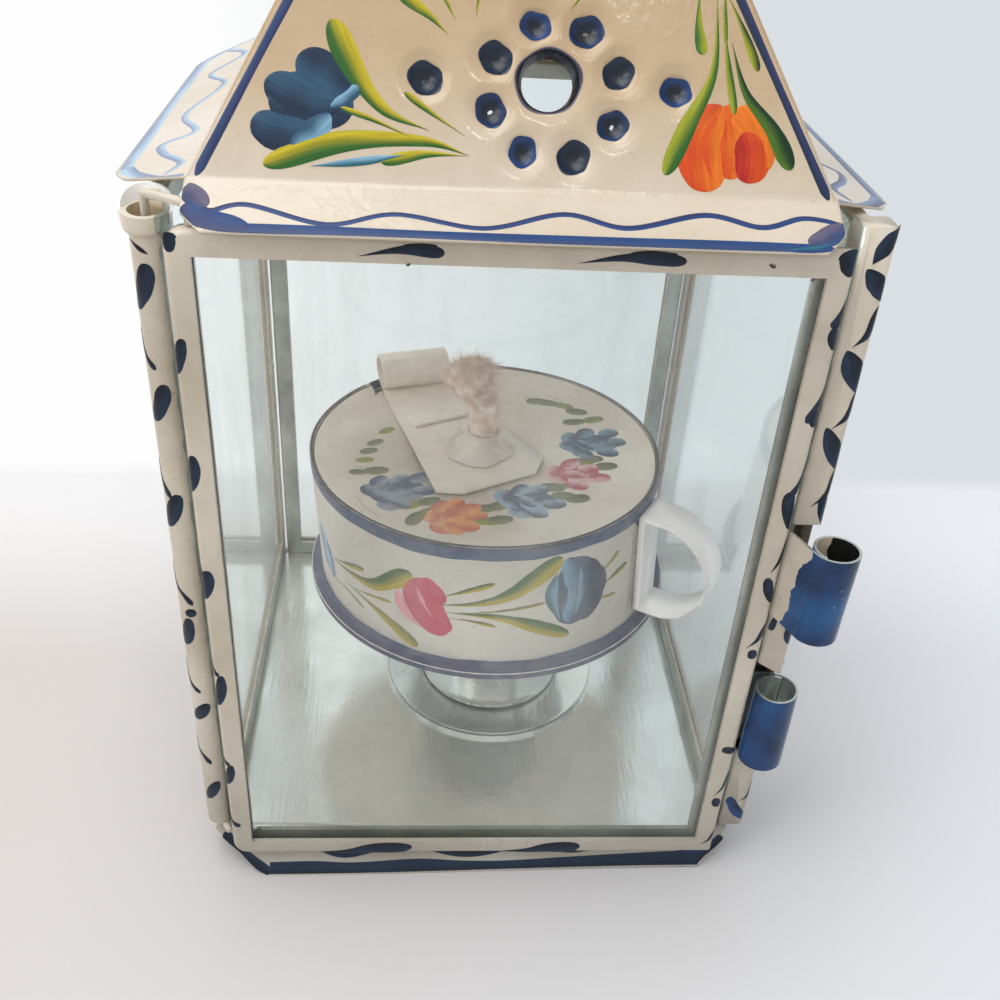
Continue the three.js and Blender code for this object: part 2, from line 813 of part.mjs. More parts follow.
// A shallow pan turned down over the top of the roof.
function addCap() {
  const outer = box(-capHalfX, capHalfX, -capHalfY, capHalfY, capTop - capRim, capTop);
  const inner = box(
    -capHalfX + sheet,
    capHalfX - sheet,
    -capHalfY + sheet,
    capHalfY - sheet,
    capTop - capRim - 1,
    capTop - sheet,
  );
  addPart("roof_cap", outer.subtract(inner), blueEnamel);
}

// Strap lug and carrying ring
function addRing() {
  const eye = ringWireRadius + lugPlay + sheet / 2;
  const foot = capTop + solderGap + sheet / 2;
  const strap = bentStrip([
    [-eye - lugFoot, foot],
    [-eye, foot],
    ...arc(0, ringPivotZ, eye, Math.PI, 0, 12),
    [eye, foot],
    [eye + lugFoot, foot],
  ], sheet);
  addPart("ring_lug", drawnAlongX(strap, -lugWidth / 2, lugWidth / 2), enamel);
  const lean = Math.asin((ringPivotZ - capTop - ringWireRadius - solderGap) / capHalfY);
  const ring = new THREE.TorusGeometry(ringRadius, ringWireRadius, 8, 40);
  ring.translate(0, ringRadius, 0);
  ring.rotateX(-lean);
  ring.translate(0, 0, ringPivotZ);
  addPart("carry_ring", solid(ring), wireSteel);
}

// Burner, drawn upright round its own axis, leaned over and placed by its group

// A body leaned to the left about its own ground, its level faces kept level.
function leaning(body) {
  return moved(body, new THREE.Matrix4().makeShear(0, 0, 0, 0, -burnerLean, 0));
}

function addLeaning(name, body, material, holder) {
  return addPart(name, leaning(body), material, holder);
}

function addBurner() {
  const burner = new THREE.Group();
  burner.position.set(burnerX + burnerLean * floorTop, burnerY, 0);
  const wall = drumRadius - sheet;
  const notch = turnedAboutZ(
    box(wall - rimNotchDepth, drumRadius + 2, -rimNotch, rimNotch, lidTop + solderGap / 2, drumTop + 1),
    curlBearing(),
  );
  const drum = turned([
    [wall, drumFoot],
    [drumRadius, drumFoot],
    [drumRadius, drumTop],
    [wall, drumTop],
  ], 64);
  addLeaning("burner_drum", drum.subtract(notch), burnerEnamel, burner);

  const rim = drumRadius + baseFlange;
  const base = turned([
    [0, burnerBaseZ],
    [rim, burnerBaseZ],
    [rim, burnerBaseZ + 2 * sheet],
    [rim - sheet, burnerBaseZ + 2 * sheet],
    [rim - sheet, burnerBaseZ + sheet],
    [0, burnerBaseZ + sheet],
  ], 64);
  addLeaning("burner_base", base, burnerEnamel, burner);

  const lidRim = wall - solderGap;
  const lid = turned([
    [0, lidTop - sheet],
    [lidRim - lidStep + sheet, lidTop - sheet],
    [lidRim, drumTop - 1.5 * sheet],
    [lidRim, drumTop - sheet / 2],
    [lidRim - sheet / 2, drumTop - sheet / 2],
    [lidRim - lidStep, lidTop],
    [0, lidTop],
  ], 64);
  const wickWay = shifted(disc(wickHole, lidTop - 2 * sheet, lidTop + sheet, 28), wickX, 0, 0);
  addLeaning("burner_lid", lid.subtract(notch).subtract(wickWay), burnerEnamel, burner);

  const spigotRadius = socketRadius - sheet - spigotPlay;
  const spigotHead = burnerBaseZ - solderGap;
  const spigot = turned([
    [spigotRadius - sheet, spigotHead - spigotDepth],
    [spigotRadius, spigotHead - spigotDepth],
    [spigotRadius, spigotHead],
    [spigotRadius - sheet, spigotHead],
  ], 40);
  addLeaning("burner_spigot", spigot, bareTin, burner);

  addLeaning("burner_handle", burnerHandle(), burnerEnamel, burner);
  addWickCarrier(burner);
  lantern.add(burner);
}

// A strap bent into a closed finger loop, its flat back soldered to the drum.
function burnerHandle() {
  const half = handleWidth / 2;
  const back = drumRadius + solderGap + sheet / 2;
  const top = drumTop - handleTopDrop;
  const foot = top - handleHeight;
  const middle = (top + foot) / 2;
  const radius = handleHeight / 2;
  const bow = arc(0, 0, 1, Math.PI / 2, -Math.PI / 2, 18).map(([x, y]) => [
    back + handleStraight + (handleReach - handleStraight - sheet) * x,
    middle + (radius - sheet / 2) * y,
  ]);
  const loop = bentStrip([[back + sheet, top - sheet / 2], ...bow, [back + sheet, foot + sheet / 2]], sheet);
  const plate = box(back - sheet / 2, back + sheet / 2 + 0.8, -half, half, foot, top);
  const curve = drawnAlongX(loop, -half, half);
  const quarter = new THREE.Matrix4().makeRotationZ(-Math.PI / 2);
  const strap = moved(curve, quarter).add(plate);
  const inside = disc(drumRadius + solderGap, foot - 1, top + 1, 64);
  return turnedAboutZ(strap.subtract(inside), handleAzimuth);
}

// Bearing of the curl's left end, where the rim is nicked to let it lie down.
function curlBearing() {
  const turn = THREE.MathUtils.degToRad(carrierTurn);
  const x = carrierLeft + rimNotch / 2;
  const y = curlDistance + curlRadius / 2;
  const worldX = x * Math.cos(turn) - y * Math.sin(turn);
  const worldY = x * Math.sin(turn) + y * Math.cos(turn);
  return THREE.MathUtils.radToDeg(Math.atan2(worldY, worldX));
}

function addWickCarrier(burner) {
  const carrier = new THREE.Group();
  const seatZ = lidTop + solderGap;
  carrier.position.set(-burnerLean * seatZ, 0, seatZ);
  const mid = sheet / 2;
  const start = -Math.PI / 2;
  const curl = arc(curlDistance, curlLift + curlRadius, curlRadius - mid, start, start + curlTurn, 24);
  const flat = [[carrierFront - 2, mid], [curlDistance - curlRamp, mid]];
  const profile = bentStrip([...flat, ...curl], sheet);
  const front = carrierLeft + carrierFrontWidth;
  const outline = shapeOf([
    [carrierLeft, curlDistance + curlRadius + 1],
    [carrierLeft, carrierFront + carrierLeftCut],
    [carrierLeft + carrierCorner, carrierFront],
    [front - carrierRightCut, carrierFront + carrierFrontSkew],
    [front, carrierFront + carrierRightEnd],
    [carrierLeft + carrierCurlWidth, curlDistance - curlRadius - 1],
    [carrierLeft + carrierCurlWidth, curlDistance + curlRadius + 1],
  ]);
  const bore = wickTubeRadius + solderGap;
  const hole = shifted(disc(bore, -sheet, 2 * sheet, 28), wickX, 0, 0);
  const plate = drawnAlongX(profile, carrierLeft - 1, front + 1)
    .intersect(raised(outline, -1, curlLift + 2 * curlRadius + 1));
  const bared = turnedAboutZ(plate, carrierTurn).subtract(hole);
  addLeaning("wick_carrier", bared, burnerEnamel, carrier);

  const strip = box(
    -crossStripLength / 2,
    crossStripLength / 2,
    -crossStripWidth / 2,
    crossStripWidth / 2,
    sheet + solderGap,
    2 * sheet + solderGap,
  );
  const turnedStrip = shifted(strip, 0, crossStripBack, 0);
  addLeaning("wick_cross_strip", turnedAboutZ(turnedStrip, carrierTurn + crossStripTurn), burnerEnamel, carrier);

  const inner = wickTubeRadius - sheet;
  const seat = sheet + solderGap;
  const tube = turned([
    [inner, -wickTubeDrop],
    [wickTubeRadius, -wickTubeDrop],
    [wickTubeRadius, seat],
    [solderConeRadius, seat],
    [solderConeRadius - solderEdge, seat + solderEdge],
    [wickTubeRadius + solderEdge, seat + solderConeHeight * 0.7],
    [wickTubeRadius, seat + solderConeHeight],
    [wickTubeRadius, wickTubeRise],
    [inner, wickTubeRise],
  ], 28);
  addLeaning("wick_tube", shifted(tube, wickX, 0, 0), burnerEnamel, carrier);

  const slack = inner - solderGap;
  const wick = turned([
    [0, -wickDrop],
    [slack, -wickDrop],
    [slack, wickTubeRise + 0.3],
    [wickTubeRadius - 0.1, wickTubeRise + 1.6],
    [wickTubeRadius - 0.2, wickTubeRise + wickRise * 0.4],
    [wickHeadRadius - 0.5, wickTubeRise + wickRise * 0.55],
    [wickHeadRadius, wickTubeRise + wickRise * 0.72],
    [wickHeadRadius - 1.2, wickTubeRise + wickRise * 0.9],
    [wickTipRadius, wickTubeRise + wickRise],
    [0, wickTubeRise + wickRise],
  ], 20);
  addLeaning("wick", shifted(wick, wickX, 0, 0), cottonWick, carrier);
  burner.add(carrier);
}

addBaseTray();
addSocket();
addLeftPanel();
addRightPanel();
addBackPanel();
addDoor();
addBodyLatch();
addRoof();
addCap();
addRing();
addBurner();

// The origin is the middle of the foot of the whole lantern.
lantern.updateMatrixWorld(true);
const bounds = new THREE.Box3().setFromObject(lantern, true);
const middleX = (bounds.min.x + bounds.max.x) / 2;
const middleY = (bounds.min.y + bounds.max.y) / 2;
lantern.position.set(-middleX, -middleY, -bounds.min.z);

export default lantern;
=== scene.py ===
import json
import math
from functools import partial

import bmesh
import bpy
import numpy as np
from mathutils import Matrix, Vector


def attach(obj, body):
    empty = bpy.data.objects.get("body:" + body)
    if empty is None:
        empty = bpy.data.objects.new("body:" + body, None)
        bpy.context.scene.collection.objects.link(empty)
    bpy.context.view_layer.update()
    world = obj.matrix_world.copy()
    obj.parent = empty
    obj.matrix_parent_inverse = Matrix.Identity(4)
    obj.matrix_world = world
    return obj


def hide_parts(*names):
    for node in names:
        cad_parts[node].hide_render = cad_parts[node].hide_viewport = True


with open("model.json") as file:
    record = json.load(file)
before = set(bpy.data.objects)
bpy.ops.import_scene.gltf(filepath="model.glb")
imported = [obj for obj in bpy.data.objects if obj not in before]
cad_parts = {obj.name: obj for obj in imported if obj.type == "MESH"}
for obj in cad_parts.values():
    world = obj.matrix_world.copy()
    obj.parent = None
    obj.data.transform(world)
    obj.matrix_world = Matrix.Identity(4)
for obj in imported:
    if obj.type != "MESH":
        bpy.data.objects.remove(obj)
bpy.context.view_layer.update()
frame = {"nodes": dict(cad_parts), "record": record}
RECORD = frame["record"]
BODY_OF = {node: body for body, nodes in RECORD["behaviour"]["bodies"].items() for node in nodes}
SLOT_OF = {part["node"]: part["material_slot"] for part in RECORD["subparts"]}

# Sizes repeated from the part's source, in millimetres
MM = 0.001
MIDDLE = np.array([-0.704, 1.638, 0.0])      # the part's own middle, before it was centred
SHEET = 0.9
STRAP = 0.6
FRAME_X, FRAME_FRONT = 64.8, -68.0           # the door's half width and its front face
FOLD = 1.35                                  # outer radius of a folded channel's edge
TUBE_X, TUBE_Y, TUBE_R = -68.6, -60.9, 3.5   # hinge tube
TUBE_AXIS = np.array([TUBE_X, TUBE_Y]) + MIDDLE[:2]
POST_FRONT, POST_EDGE, POST_ROUND = -65.0, 73.0, 1.6    # latch post's face, its side and their bend
CREASE_Z = 189.3                             # the roof panels' crease between eave and steep part
CREASE_X, CREASE_Y = 60.0, 63.0              # half sizes of the crease rectangle
ROOF_RISE = 80.0
STEEP = math.radians(60.255)
EAVE_DROP = 5.8
FRONT_OUT, SIDE_OUT = 11.5, 17.5             # how far the eaves stand out
VENT_A, VENT_B, VENT_R = 5.0, 20.0, 6.0      # the vent's place on its panel
DIMPLE_RING, DIMPLE_R = 12.3, 3.1
FLOOR_Z = 10.5                               # top of the tray
TRAY_FRONT, TRAY_OUT = -61.0, 7.0
FLAP_TOP, FLAP_DROP = 10.05, 8.7             # the front flap's crease, and how far the flaps fall
BURNER_X, BURNER_Y, LEAN = 6.3, 6.0, 0.06    # the burner's axis at the floor, leaning left as it rises
DRUM_R, DRUM_TOP = 49.3, 93.5
LID_Z = 90.5
WICK_X, TUBE_TOP = -2.0, 98.2                # the wick tube beside the burner's axis, and its mouth
LATCH_LONG = 23.5

rng = np.random.default_rng(7)               # the same draws each run: strokes' edges, then the wick


# Camera, as fitted to the photograph

PHOTO_WIDTH = 1000                           # pixels
FOCAL = 1103.66                              # pixels
PITCH, YAW, ROLL = 0.5928, 0.0871, 0.0676    # radians down, to the right and over
EYE = (-0.017683, -0.260853, 0.255569)       # metres


def new_object(name, data):
    """Puts an object with this data into the scene."""
    made = bpy.data.objects.new(name, data)
    bpy.context.scene.collection.objects.link(made)
    return made


def aim_camera():
    """A pinhole that is turned to the right, pitched down and then rolled."""
    flat = math.cos(PITCH)
    fwd = Vector((math.sin(YAW) * flat, math.cos(YAW) * flat, -math.sin(PITCH)))
    right = Vector((math.cos(YAW), -math.sin(YAW), 0))
    up = right.cross(fwd)
    across = math.cos(ROLL) * right + math.sin(ROLL) * up
    upright = -math.sin(ROLL) * right + math.cos(ROLL) * up
    data = bpy.data.cameras.new("photo_camera")
    data.sensor_width = 36
    data.lens = FOCAL / PHOTO_WIDTH * data.sensor_width
    data.clip_start = 0.01
    camera = new_object("photo_camera", data)
    turn = Matrix((across, upright, -fwd)).transposed().to_4x4()
    camera.matrix_world = Matrix.Translation(EYE) @ turn
    bpy.context.scene.camera = camera


aim_camera()


# Colour and node helpers

def linear(hexcode, alpha=1.0):
    """An sRGB hex colour as linear RGBA."""
    code = hexcode.lstrip("#")
    parts = np.array([int(code[i:i + 2], 16) for i in (0, 2, 4)]) / 255
    lin = np.where(parts <= 0.04045, parts / 12.92, ((parts + 0.055) / 1.055) ** 2.4)
    return (*lin.tolist(), alpha)


def add(tree, kind, inputs=None, stops=(), **settings):
    """Adds one shader node, gives it its settings and a ramp's (position, hex) stops, and sets or
    links its inputs. An input is a number, a vector, a hex colour, a socket, or a node, which
    gives its first live output."""
    made = tree.nodes.new("ShaderNode" + kind)
    for key, value in settings.items():
        setattr(made, key, value)
    for _ in stops[2:]:
        made.color_ramp.elements.new(0.5)
    for i, (place, code) in enumerate(stops):
        made.color_ramp.elements[i].position = place
        made.color_ramp.elements[i].color = linear(code)
    for key, value in (inputs or {}).items():
        if isinstance(value, bpy.types.Node):
            value = next(output for output in value.outputs if output.enabled)
        if isinstance(value, bpy.types.NodeSocket):
            tree.links.new(value, made.inputs[key])
        else:
            made.inputs[key].default_value = linear(value) if isinstance(value, str) else value
    return made


def material(name):
    """An empty node material and its tree."""
    made = bpy.data.materials.new(name)
    made.use_nodes = True
    made.node_tree.nodes.clear()
    return made, made.node_tree


def object_place(tree):
    """Object coordinates, whole and as X, Y and Z in metres."""
    coord = add(tree, "TexCoord").outputs["Object"]
    split = add(tree, "SeparateXYZ", {0: coord})
    return coord, split.outputs["X"], split.outputs["Y"], split.outputs["Z"]


# Materials: object coordinates are in metres, so a noise of features of so many millimetres has
# a scale of 1000 over their size. A range is value, from, to, and what these become.

def enamel_layer(tree, coord, colour, shade, grime, gloss, specks=0.5, shine=0.5, tint=None):
    """Hand-brushed gloss enamel on tinplate: long brush marks, a yellowed shade in patches,
    grime gathered in fine specks, and a soft highlight broken by the brush."""
    node = partial(add, tree)
    patch = node("TexNoise", {"Vector": coord, "Scale": 1000 / 34, "Detail": 4.0, "Roughness": 0.6})
    tone = node("ValToRGB", {0: patch}, stops=[(0.34, shade), (0.64, colour)])
    cloud = node("TexNoise", {"Vector": coord, "Scale": 1000 / 9, "Detail": 5.0, "Roughness": 0.65})
    cloud = node("MapRange", {0: cloud, 1: 0.52, 2: 0.78, 4: 0.34 * specks})
    tone = node("Mix", {0: cloud, 6: tone, 7: grime}, data_type="RGBA")
    dots = node("TexNoise", {"Vector": coord, "Scale": 1000 / 1.9, "Detail": 5.0, "Roughness": 0.62})
    dots = node("MapRange", {0: dots, 1: 0.64, 2: 0.76, 4: specks})
    tone = node("Mix", {0: dots, 6: tone, 7: grime}, data_type="RGBA")
    if tint is not None:
        tone = node("Mix", {0: 1.0, 6: tone, 7: tint}, data_type="RGBA", blend_type="MULTIPLY")
    drawn = node("Mapping", {"Vector": coord, "Scale": (1.0, 1.0, 0.16)})
    brush = node("TexNoise", {"Vector": drawn, "Scale": 1000 / 1.4, "Detail": 3.0})
    lumps = node("TexNoise", {"Vector": coord, "Scale": 1000 / 7, "Detail": 2.0})
    relief = node("Math", {0: brush, 1: lumps}, operation="ADD")
    bump = node("Bump", {"Height": relief, "Strength": 0.16, "Distance": 0.0006})
    rough = node("MapRange", {0: patch, 1: 0.3, 2: 0.7, 3: gloss + 0.1, 4: gloss})
    return node("BsdfPrincipled", {
        "Base Color": tone, "Roughness": rough, "Specular IOR Level": shine, "Normal": bump})


def tin_layer(tree, coord, colour, dark, rough, stain=0.5, metal=1.0, tint=None):
    """Bare tinned sheet: bright metal clouded by handling, with dull stains and fine scratches."""
    node = partial(add, tree)
    cloud = node("TexNoise", {"Vector": coord, "Scale": 1000 / 22, "Detail": 6.0, "Roughness": 0.6})
    tone = node("ValToRGB", {0: cloud}, stops=[(0.3, dark), (0.62, colour)])
    fine = node("TexNoise", {"Vector": coord, "Scale": 1000 / 1.5, "Detail": 4.0})
    stains = node("MapRange", {0: fine, 1: 0.58, 2: 0.75, 4: stain})
    tone = node("Mix", {0: stains, 6: tone, 7: dark}, data_type="RGBA")
    if tint is not None:
        tone = node("Mix", {0: 1.0, 6: tone, 7: tint}, data_type="RGBA", blend_type="MULTIPLY")
    drawn = node("Mapping", {"Vector": coord, "Scale": (1.0, 0.07, 1.0)})
    scratch = node("TexNoise", {"Vector": drawn, "Scale": 1000 / 0.9, "Detail": 2.0})
    relief = node("Math", {0: fine, 1: scratch}, operation="ADD")
    bump = node("Bump", {"Height": relief, "Strength": 0.1, "Distance": 0.0003})
    haze = node("MapRange", {0: cloud, 1: 0.35, 2: 0.65, 3: rough + 0.16, 4: rough})
    return node("BsdfPrincipled", {"Base Color": tone, "Metallic": metal, "Roughness": haze, "Normal": bump})


def one_layer(name, layer, *look):
    """A material of one layer all over."""
    made, tree = material(name)
    add(tree, "OutputMaterial", {"Surface": layer(tree, object_place(tree)[0], *look)})
    return made


def roof_paint(name):
    """Warm cream enamel, darker and yellower upwards towards the vents, a painted shade."""
    made, tree = material(name)
    coord, _, _, z = object_place(tree)
    # painted shade: the enamel darkens and yellows with height up the roof
    high = add(tree, "MapRange", {0: z, 1: 0.188, 2: 0.232})
    upward_painted_shade = add(tree, "ValToRGB", {0: high}, stops=[(0.0, "#FFFCF8"), (0.43, "#ECDAC1"), (1.0, "#DDC6A4")])
    shader = enamel_layer(tree, coord, "#C8BFB1", "#BDB19D", "#8A7660", 0.12, 0.35, 0.5, upward_painted_shade)
    add(tree, "OutputMaterial", {"Surface": shader})
    return made


def painted_outside(name, mask, paint, bare, foot):
    """Enamel where the sheet faces out, bare tin where it faces in, with a ragged border. The
    enamel is greyer towards the foot, a painted shade, and lighter along the top rail, a painted light;
    the bare tin darkens to the foot colour near the foot, a painted shade."""
    made, tree = material(name)
    node = partial(add, tree)
    coord, x, y, z = object_place(tree)
    wander = node("TexNoise", {"Vector": coord, "Scale": 1000 / 3, "Detail": 3.0})
    wander = node("MapRange", {0: wander, 1: 0.3, 2: 0.7, 3: -0.0003, 4: 0.0003})
    # painted light and shade: the enamel greys towards the foot and whitens along the top rail
    whole = node("MapRange", {0: z, 1: 0.004, 2: 0.178})
    dust = node("ValToRGB", {0: whole}, stops=[
        (0.0, "#D3D7DB"), (0.38, "#F3F3F3"), (0.92, "#F3F3F3"), (1.0, "#FFFFFF")])
    # painted shade: the bare tin darkens near the foot
    low = node("MapRange", {0: z, 1: 0.012, 2: 0.03})
    foot_painted_shade = node("ValToRGB", {0: low}, stops=[(0.0, foot), (1.0, "#FFFFFF")])
    enamel = enamel_layer(tree, coord, *paint, 0.45, dust)
    tin = tin_layer(tree, coord, *bare, foot_painted_shade)
    mix = node("MixShader", {0: mask(tree, x, y, z, wander), 1: enamel, 2: tin})
    node("OutputMaterial", {"Surface": mix})
    return made


# The lamp chamber, inside which the sheet is bare, in metres
CHAMBER_MIDDLE, CHAMBER_HALF = -0.0007, 0.0662
CHAMBER_FRONT, CHAMBER_BACK, CHAMBER_FLOOR = -0.0634, 0.0654, 0.0094


def inside_frames(tree, x, y, _z, wander):
    """1 inside the lamp chamber, up to the frames' inner faces."""
    node = partial(add, tree)
    aside = node("Math", {0: x, 1: CHAMBER_MIDDLE}, operation="SUBTRACT")
    aside = node("Math", {0: aside}, operation="ABSOLUTE")
    aside = node("Math", {0: aside, 1: wander}, operation="ADD")
    near = node("Math", {0: aside, 1: CHAMBER_HALF}, operation="LESS_THAN")
    deep = node("Math", {0: y, 1: wander}, operation="ADD")
    front = node("Math", {0: deep, 1: CHAMBER_FRONT}, operation="GREATER_THAN")
    back = node("Math", {0: deep, 1: CHAMBER_BACK}, operation="LESS_THAN")
    between = node("Math", {0: front, 1: back}, operation="MULTIPLY")
    return node("Math", {0: near, 1: between}, operation="MULTIPLY")


def on_tray_floor(tree, x, y, z, wander):
    """1 on the tray's floor between the frames, 0 outside them and down the flaps."""
    high = add(tree, "Math", {0: z, 1: wander}, operation="ADD")
    high = add(tree, "Math", {0: high, 1: CHAMBER_FLOOR}, operation="GREATER_THAN")
    inside = inside_frames(tree, x, y, z, wander)
    return add(tree, "Math", {0: high, 1: inside}, operation="MULTIPLY")


def window_glass(name, tint):
    """Thin clear sheet glass, faintly green, with wiped dust; room light passes straight through."""
    made, tree = material(name)
    node = partial(add, tree)
    coord = object_place(tree)[0]
    pane = node("BsdfPrincipled", {
        "Base Color": tint, "Roughness": 0.02, "IOR": 1.45, "Transmission Weight": 1.0})
    drawn = node("Mapping", {"Vector": coord, "Scale": (1.0, 1.0, 0.3)})
    wipes = node("TexNoise", {"Vector": drawn, "Scale": 1000 / 26, "Detail": 4.0, "Roughness": 0.6})
    wipes = node("MapRange", {0: wipes, 1: 0.5, 2: 0.85, 4: 0.16})
    specks = node("TexNoise", {"Vector": coord, "Scale": 1000 / 1.1, "Detail": 4.0})
    specks = node("MapRange", {0: specks, 1: 0.7, 2: 0.8, 4: 0.5})
    dust = node("Math", {0: wipes, 1: specks}, operation="MAXIMUM")
    film = node("BsdfDiffuse", {"Color": "#C9CEC8"})
    seen = node("MixShader", {0: dust, 1: pane, 2: film})
    clear = node("BsdfTransparent", {"Color": "#FFFFFF"})
    rays = node("LightPath").outputs
    through = node("Math", {0: rays["Is Shadow Ray"], 1: rays["Is Diffuse Ray"]}, operation="MAXIMUM")
    mix = node("MixShader", {0: through, 1: seen, 2: clear})
    node("OutputMaterial", {"Surface": mix})
    return made


def brushed_paint(name, gloss, shine=0.25, dust=0.0):
    """Opaque enamel laid with a loaded brush: the stroke's own colours, streaked along its way,
    with dust lying on it in patches."""
    made, tree = material(name)
    node = partial(add, tree)
    hue = node("Attribute", attribute_name="paint").outputs["Color"]
    along = node("Mapping", {"Vector": node("UVMap", uv_map="brush"), "Scale": (0.1, 1.5, 1.0)})
    streak = node("TexNoise", {"Vector": along, "Scale": 1.0, "Detail": 4.0, "Roughness": 0.62})
    light = node("MapRange", {0: streak, 1: 0.3, 2: 0.7, 3: 0.78, 4: 1.2})
    tone = node("VectorMath", {0: hue, "Scale": light}, operation="SCALE")
    coord = object_place(tree)[0]
    lying = node("TexNoise", {"Vector": coord, "Scale": 1000 / 5, "Detail": 5.0, "Roughness": 0.65})
    lying = node("MapRange", {0: lying, 1: 0.4, 2: 0.7, 3: 0.4 * dust, 4: dust})
    tone = node("Mix", {0: lying, 6: tone, 7: "#B9B2A4"}, data_type="RGBA")
    bump = node("Bump", {"Height": streak, "Strength": 0.18, "Distance": 0.0003})
    shader = node("BsdfPrincipled", {
        "Base Color": tone, "Roughness": gloss, "Specular IOR Level": shine, "Normal": bump})
    node("OutputMaterial", {"Surface": shader})
    return made


def gloss_blue(tree, coord):
    """Thick blue enamel, pooled darker in patches, with a few pale specks of wear."""
    node = partial(add, tree)
    pool = node("TexNoise", {"Vector": coord, "Scale": 1000 / 16, "Detail": 3.0})
    tone = node("ValToRGB", {0: pool}, stops=[(0.34, "#16263F"), (0.5, "#1C3B64"), (0.66, "#22507F")])
    specks = node("TexNoise", {"Vector": coord, "Scale": 1000 / 1.6, "Detail": 4.0, "Roughness": 0.6})
    specks = node("MapRange", {0: specks, 1: 0.68, 2: 0.74, 4: 0.55})
    tone = node("Mix", {0: specks, 6: tone, 7: "#8A93A0"}, data_type="RGBA")
    lumps = node("TexNoise", {"Vector": coord, "Scale": 1000 / 5, "Detail": 3.0})
    bump = node("Bump", {"Height": lumps, "Strength": 0.12, "Distance": 0.0008})
    return node("BsdfPrincipled", {
        "Base Color": tone, "Roughness": 0.2, "Specular IOR Level": 0.28, "Normal": bump})


def inside_roll(name, middle):
    """The inside of the upper roll: cream on the side where the paint ran in, and black on the other,
    a painted shade.
    """
    made, tree = material(name)
    node = partial(add, tree)
    coord, x, _, _ = object_place(tree)
    wander = node("TexNoise", {"Vector": coord, "Scale": 1000 / 4, "Detail": 3.0})
    wander = node("MapRange", {0: wander, 1: 0.3, 2: 0.7, 3: -0.0008, 4: 0.0008})
    ragged = node("Math", {0: x, 1: wander}, operation="ADD")
    right = node("Math", {0: ragged, 1: middle}, operation="GREATER_THAN")
    cream = enamel_layer(tree, coord, "#CDBEA6", "#A8977E", "#6A5C4A", 0.35, 0.9)
    # painted shade: the far side of the roll's inside is drawn black
    roll_painted_shade = enamel_layer(tree, coord, "#1B1E1C", "#101312", "#2E2A22", 0.3, 0.5, 0.2)
    mix = node("MixShader", {0: right, 1: cream, 2: roll_painted_shade})
    node("OutputMaterial", {"Surface": mix})
    return made


def latch_paint(name):
    """Blue gloss enamel, chipped to bright tin. It covers the lower latch, and the upper one from
    a ragged, slanting edge across its strap, which is cream."""
    edge, upper_middle, lean, lower_top = 0.0668, 0.104, 0.05, 0.08
    made, tree = material(name)
    node = partial(add, tree)
    coord, x, _, z = object_place(tree)
    blue = gloss_blue(tree, coord)
    cream = enamel_layer(tree, coord, "#C2B9AB", "#AFA595", "#6C6254", 0.3, 0.8)
    wander = node("TexNoise", {"Vector": coord, "Scale": 1000 / 9, "Detail": 3.0})
    wander = node("MapRange", {0: wander, 1: 0.3, 2: 0.7, 3: -0.0006, 4: 0.0006})
    ragged = node("Math", {0: x, 1: wander}, operation="ADD")
    slant = node("Math", {0: z, 1: upper_middle}, operation="SUBTRACT")
    slant = node("Math", {0: slant, 1: lean}, operation="MULTIPLY")
    ragged = node("Math", {0: ragged, 1: slant}, operation="SUBTRACT")
    painted = node("Math", {0: ragged, 1: edge}, operation="GREATER_THAN")
    low = node("Math", {0: z, 1: lower_top}, operation="LESS_THAN")
    covered = node("Math", {0: painted, 1: low}, operation="MAXIMUM")
    coat = node("MixShader", {0: covered, 1: cream, 2: blue})
    chip = node("TexNoise", {"Vector": coord, "Scale": 1000 / 2.2, "Detail": 4.0, "Roughness": 0.6})
    chip = node("Math", {0: chip, 1: 0.715}, operation="GREATER_THAN")
    bare = tin_layer(tree, coord, "#D5D9D8", "#A5A9A6", 0.2)
    mix = node("MixShader", {0: chip, 1: coat, 2: bare})
    node("OutputMaterial", {"Surface": mix})
    return made


def cotton(name):
    """Loose raw cotton: matt, pinkish beige, soft at the edges."""
    made, tree = material(name)
    node = partial(add, tree)
    fluff = node("TexNoise", {"Vector": object_place(tree)[0], "Scale": 1000 / 2.4, "Detail": 5.0})
    tone = node("ValToRGB", {0: fluff}, stops=[(0.3, "#D3BEAC"), (0.52, "#EBDBCB"), (0.72, "#F8F0E7")])
    bump = node("Bump", {"Height": fluff, "Strength": 0.6, "Distance": 0.0008})
    shader = node("BsdfPrincipled", {
        "Base Color": tone, "Roughness": 0.95, "Sheen Weight": 0.4, "Sheen Roughness": 0.5, "Normal": bump})
    node("OutputMaterial", {"Surface": shader})
    return made


# An enamel is its colour, yellowed shade, grime, gloss, specks and shine; a tin its colour, dark
# clouds, roughness, stain and how metallic it looks through its haze
CREAM_LOOK = ("#CFC6B5", "#BDB29F", "#7A6F5D", 0.24, 0.55)
TIN_LOOK = ("#BFC4BC", "#8E948B", 0.3, 0.6, 0.75)
BRIGHT_TIN_LOOK = ("#F3F5F2", "#DEE1DD", 0.1, 0.3, 0.85)

# Body: cream oil enamel over tin, left bare where the sheet faces the lamp, with painted shade
# towards the foot and painted light along the top rail; the roof's darkens and yellows upwards as
# painted shade
CREAM = one_layer("cream_oil_enamel", enamel_layer, *CREAM_LOOK)
# the last colour is the painted shade on the bare tin near the foot
FRAME = painted_outside("cream_enamel_bare_inside", inside_frames, CREAM_LOOK, TIN_LOOK, "#C2C8BE")
TRAY = painted_outside("tray_tin_painted_flaps", on_tray_floor, CREAM_LOOK, BRIGHT_TIN_LOOK, "#FFFFFF")
ROOF_CREAM = roof_paint("warm_cream_oil_enamel")

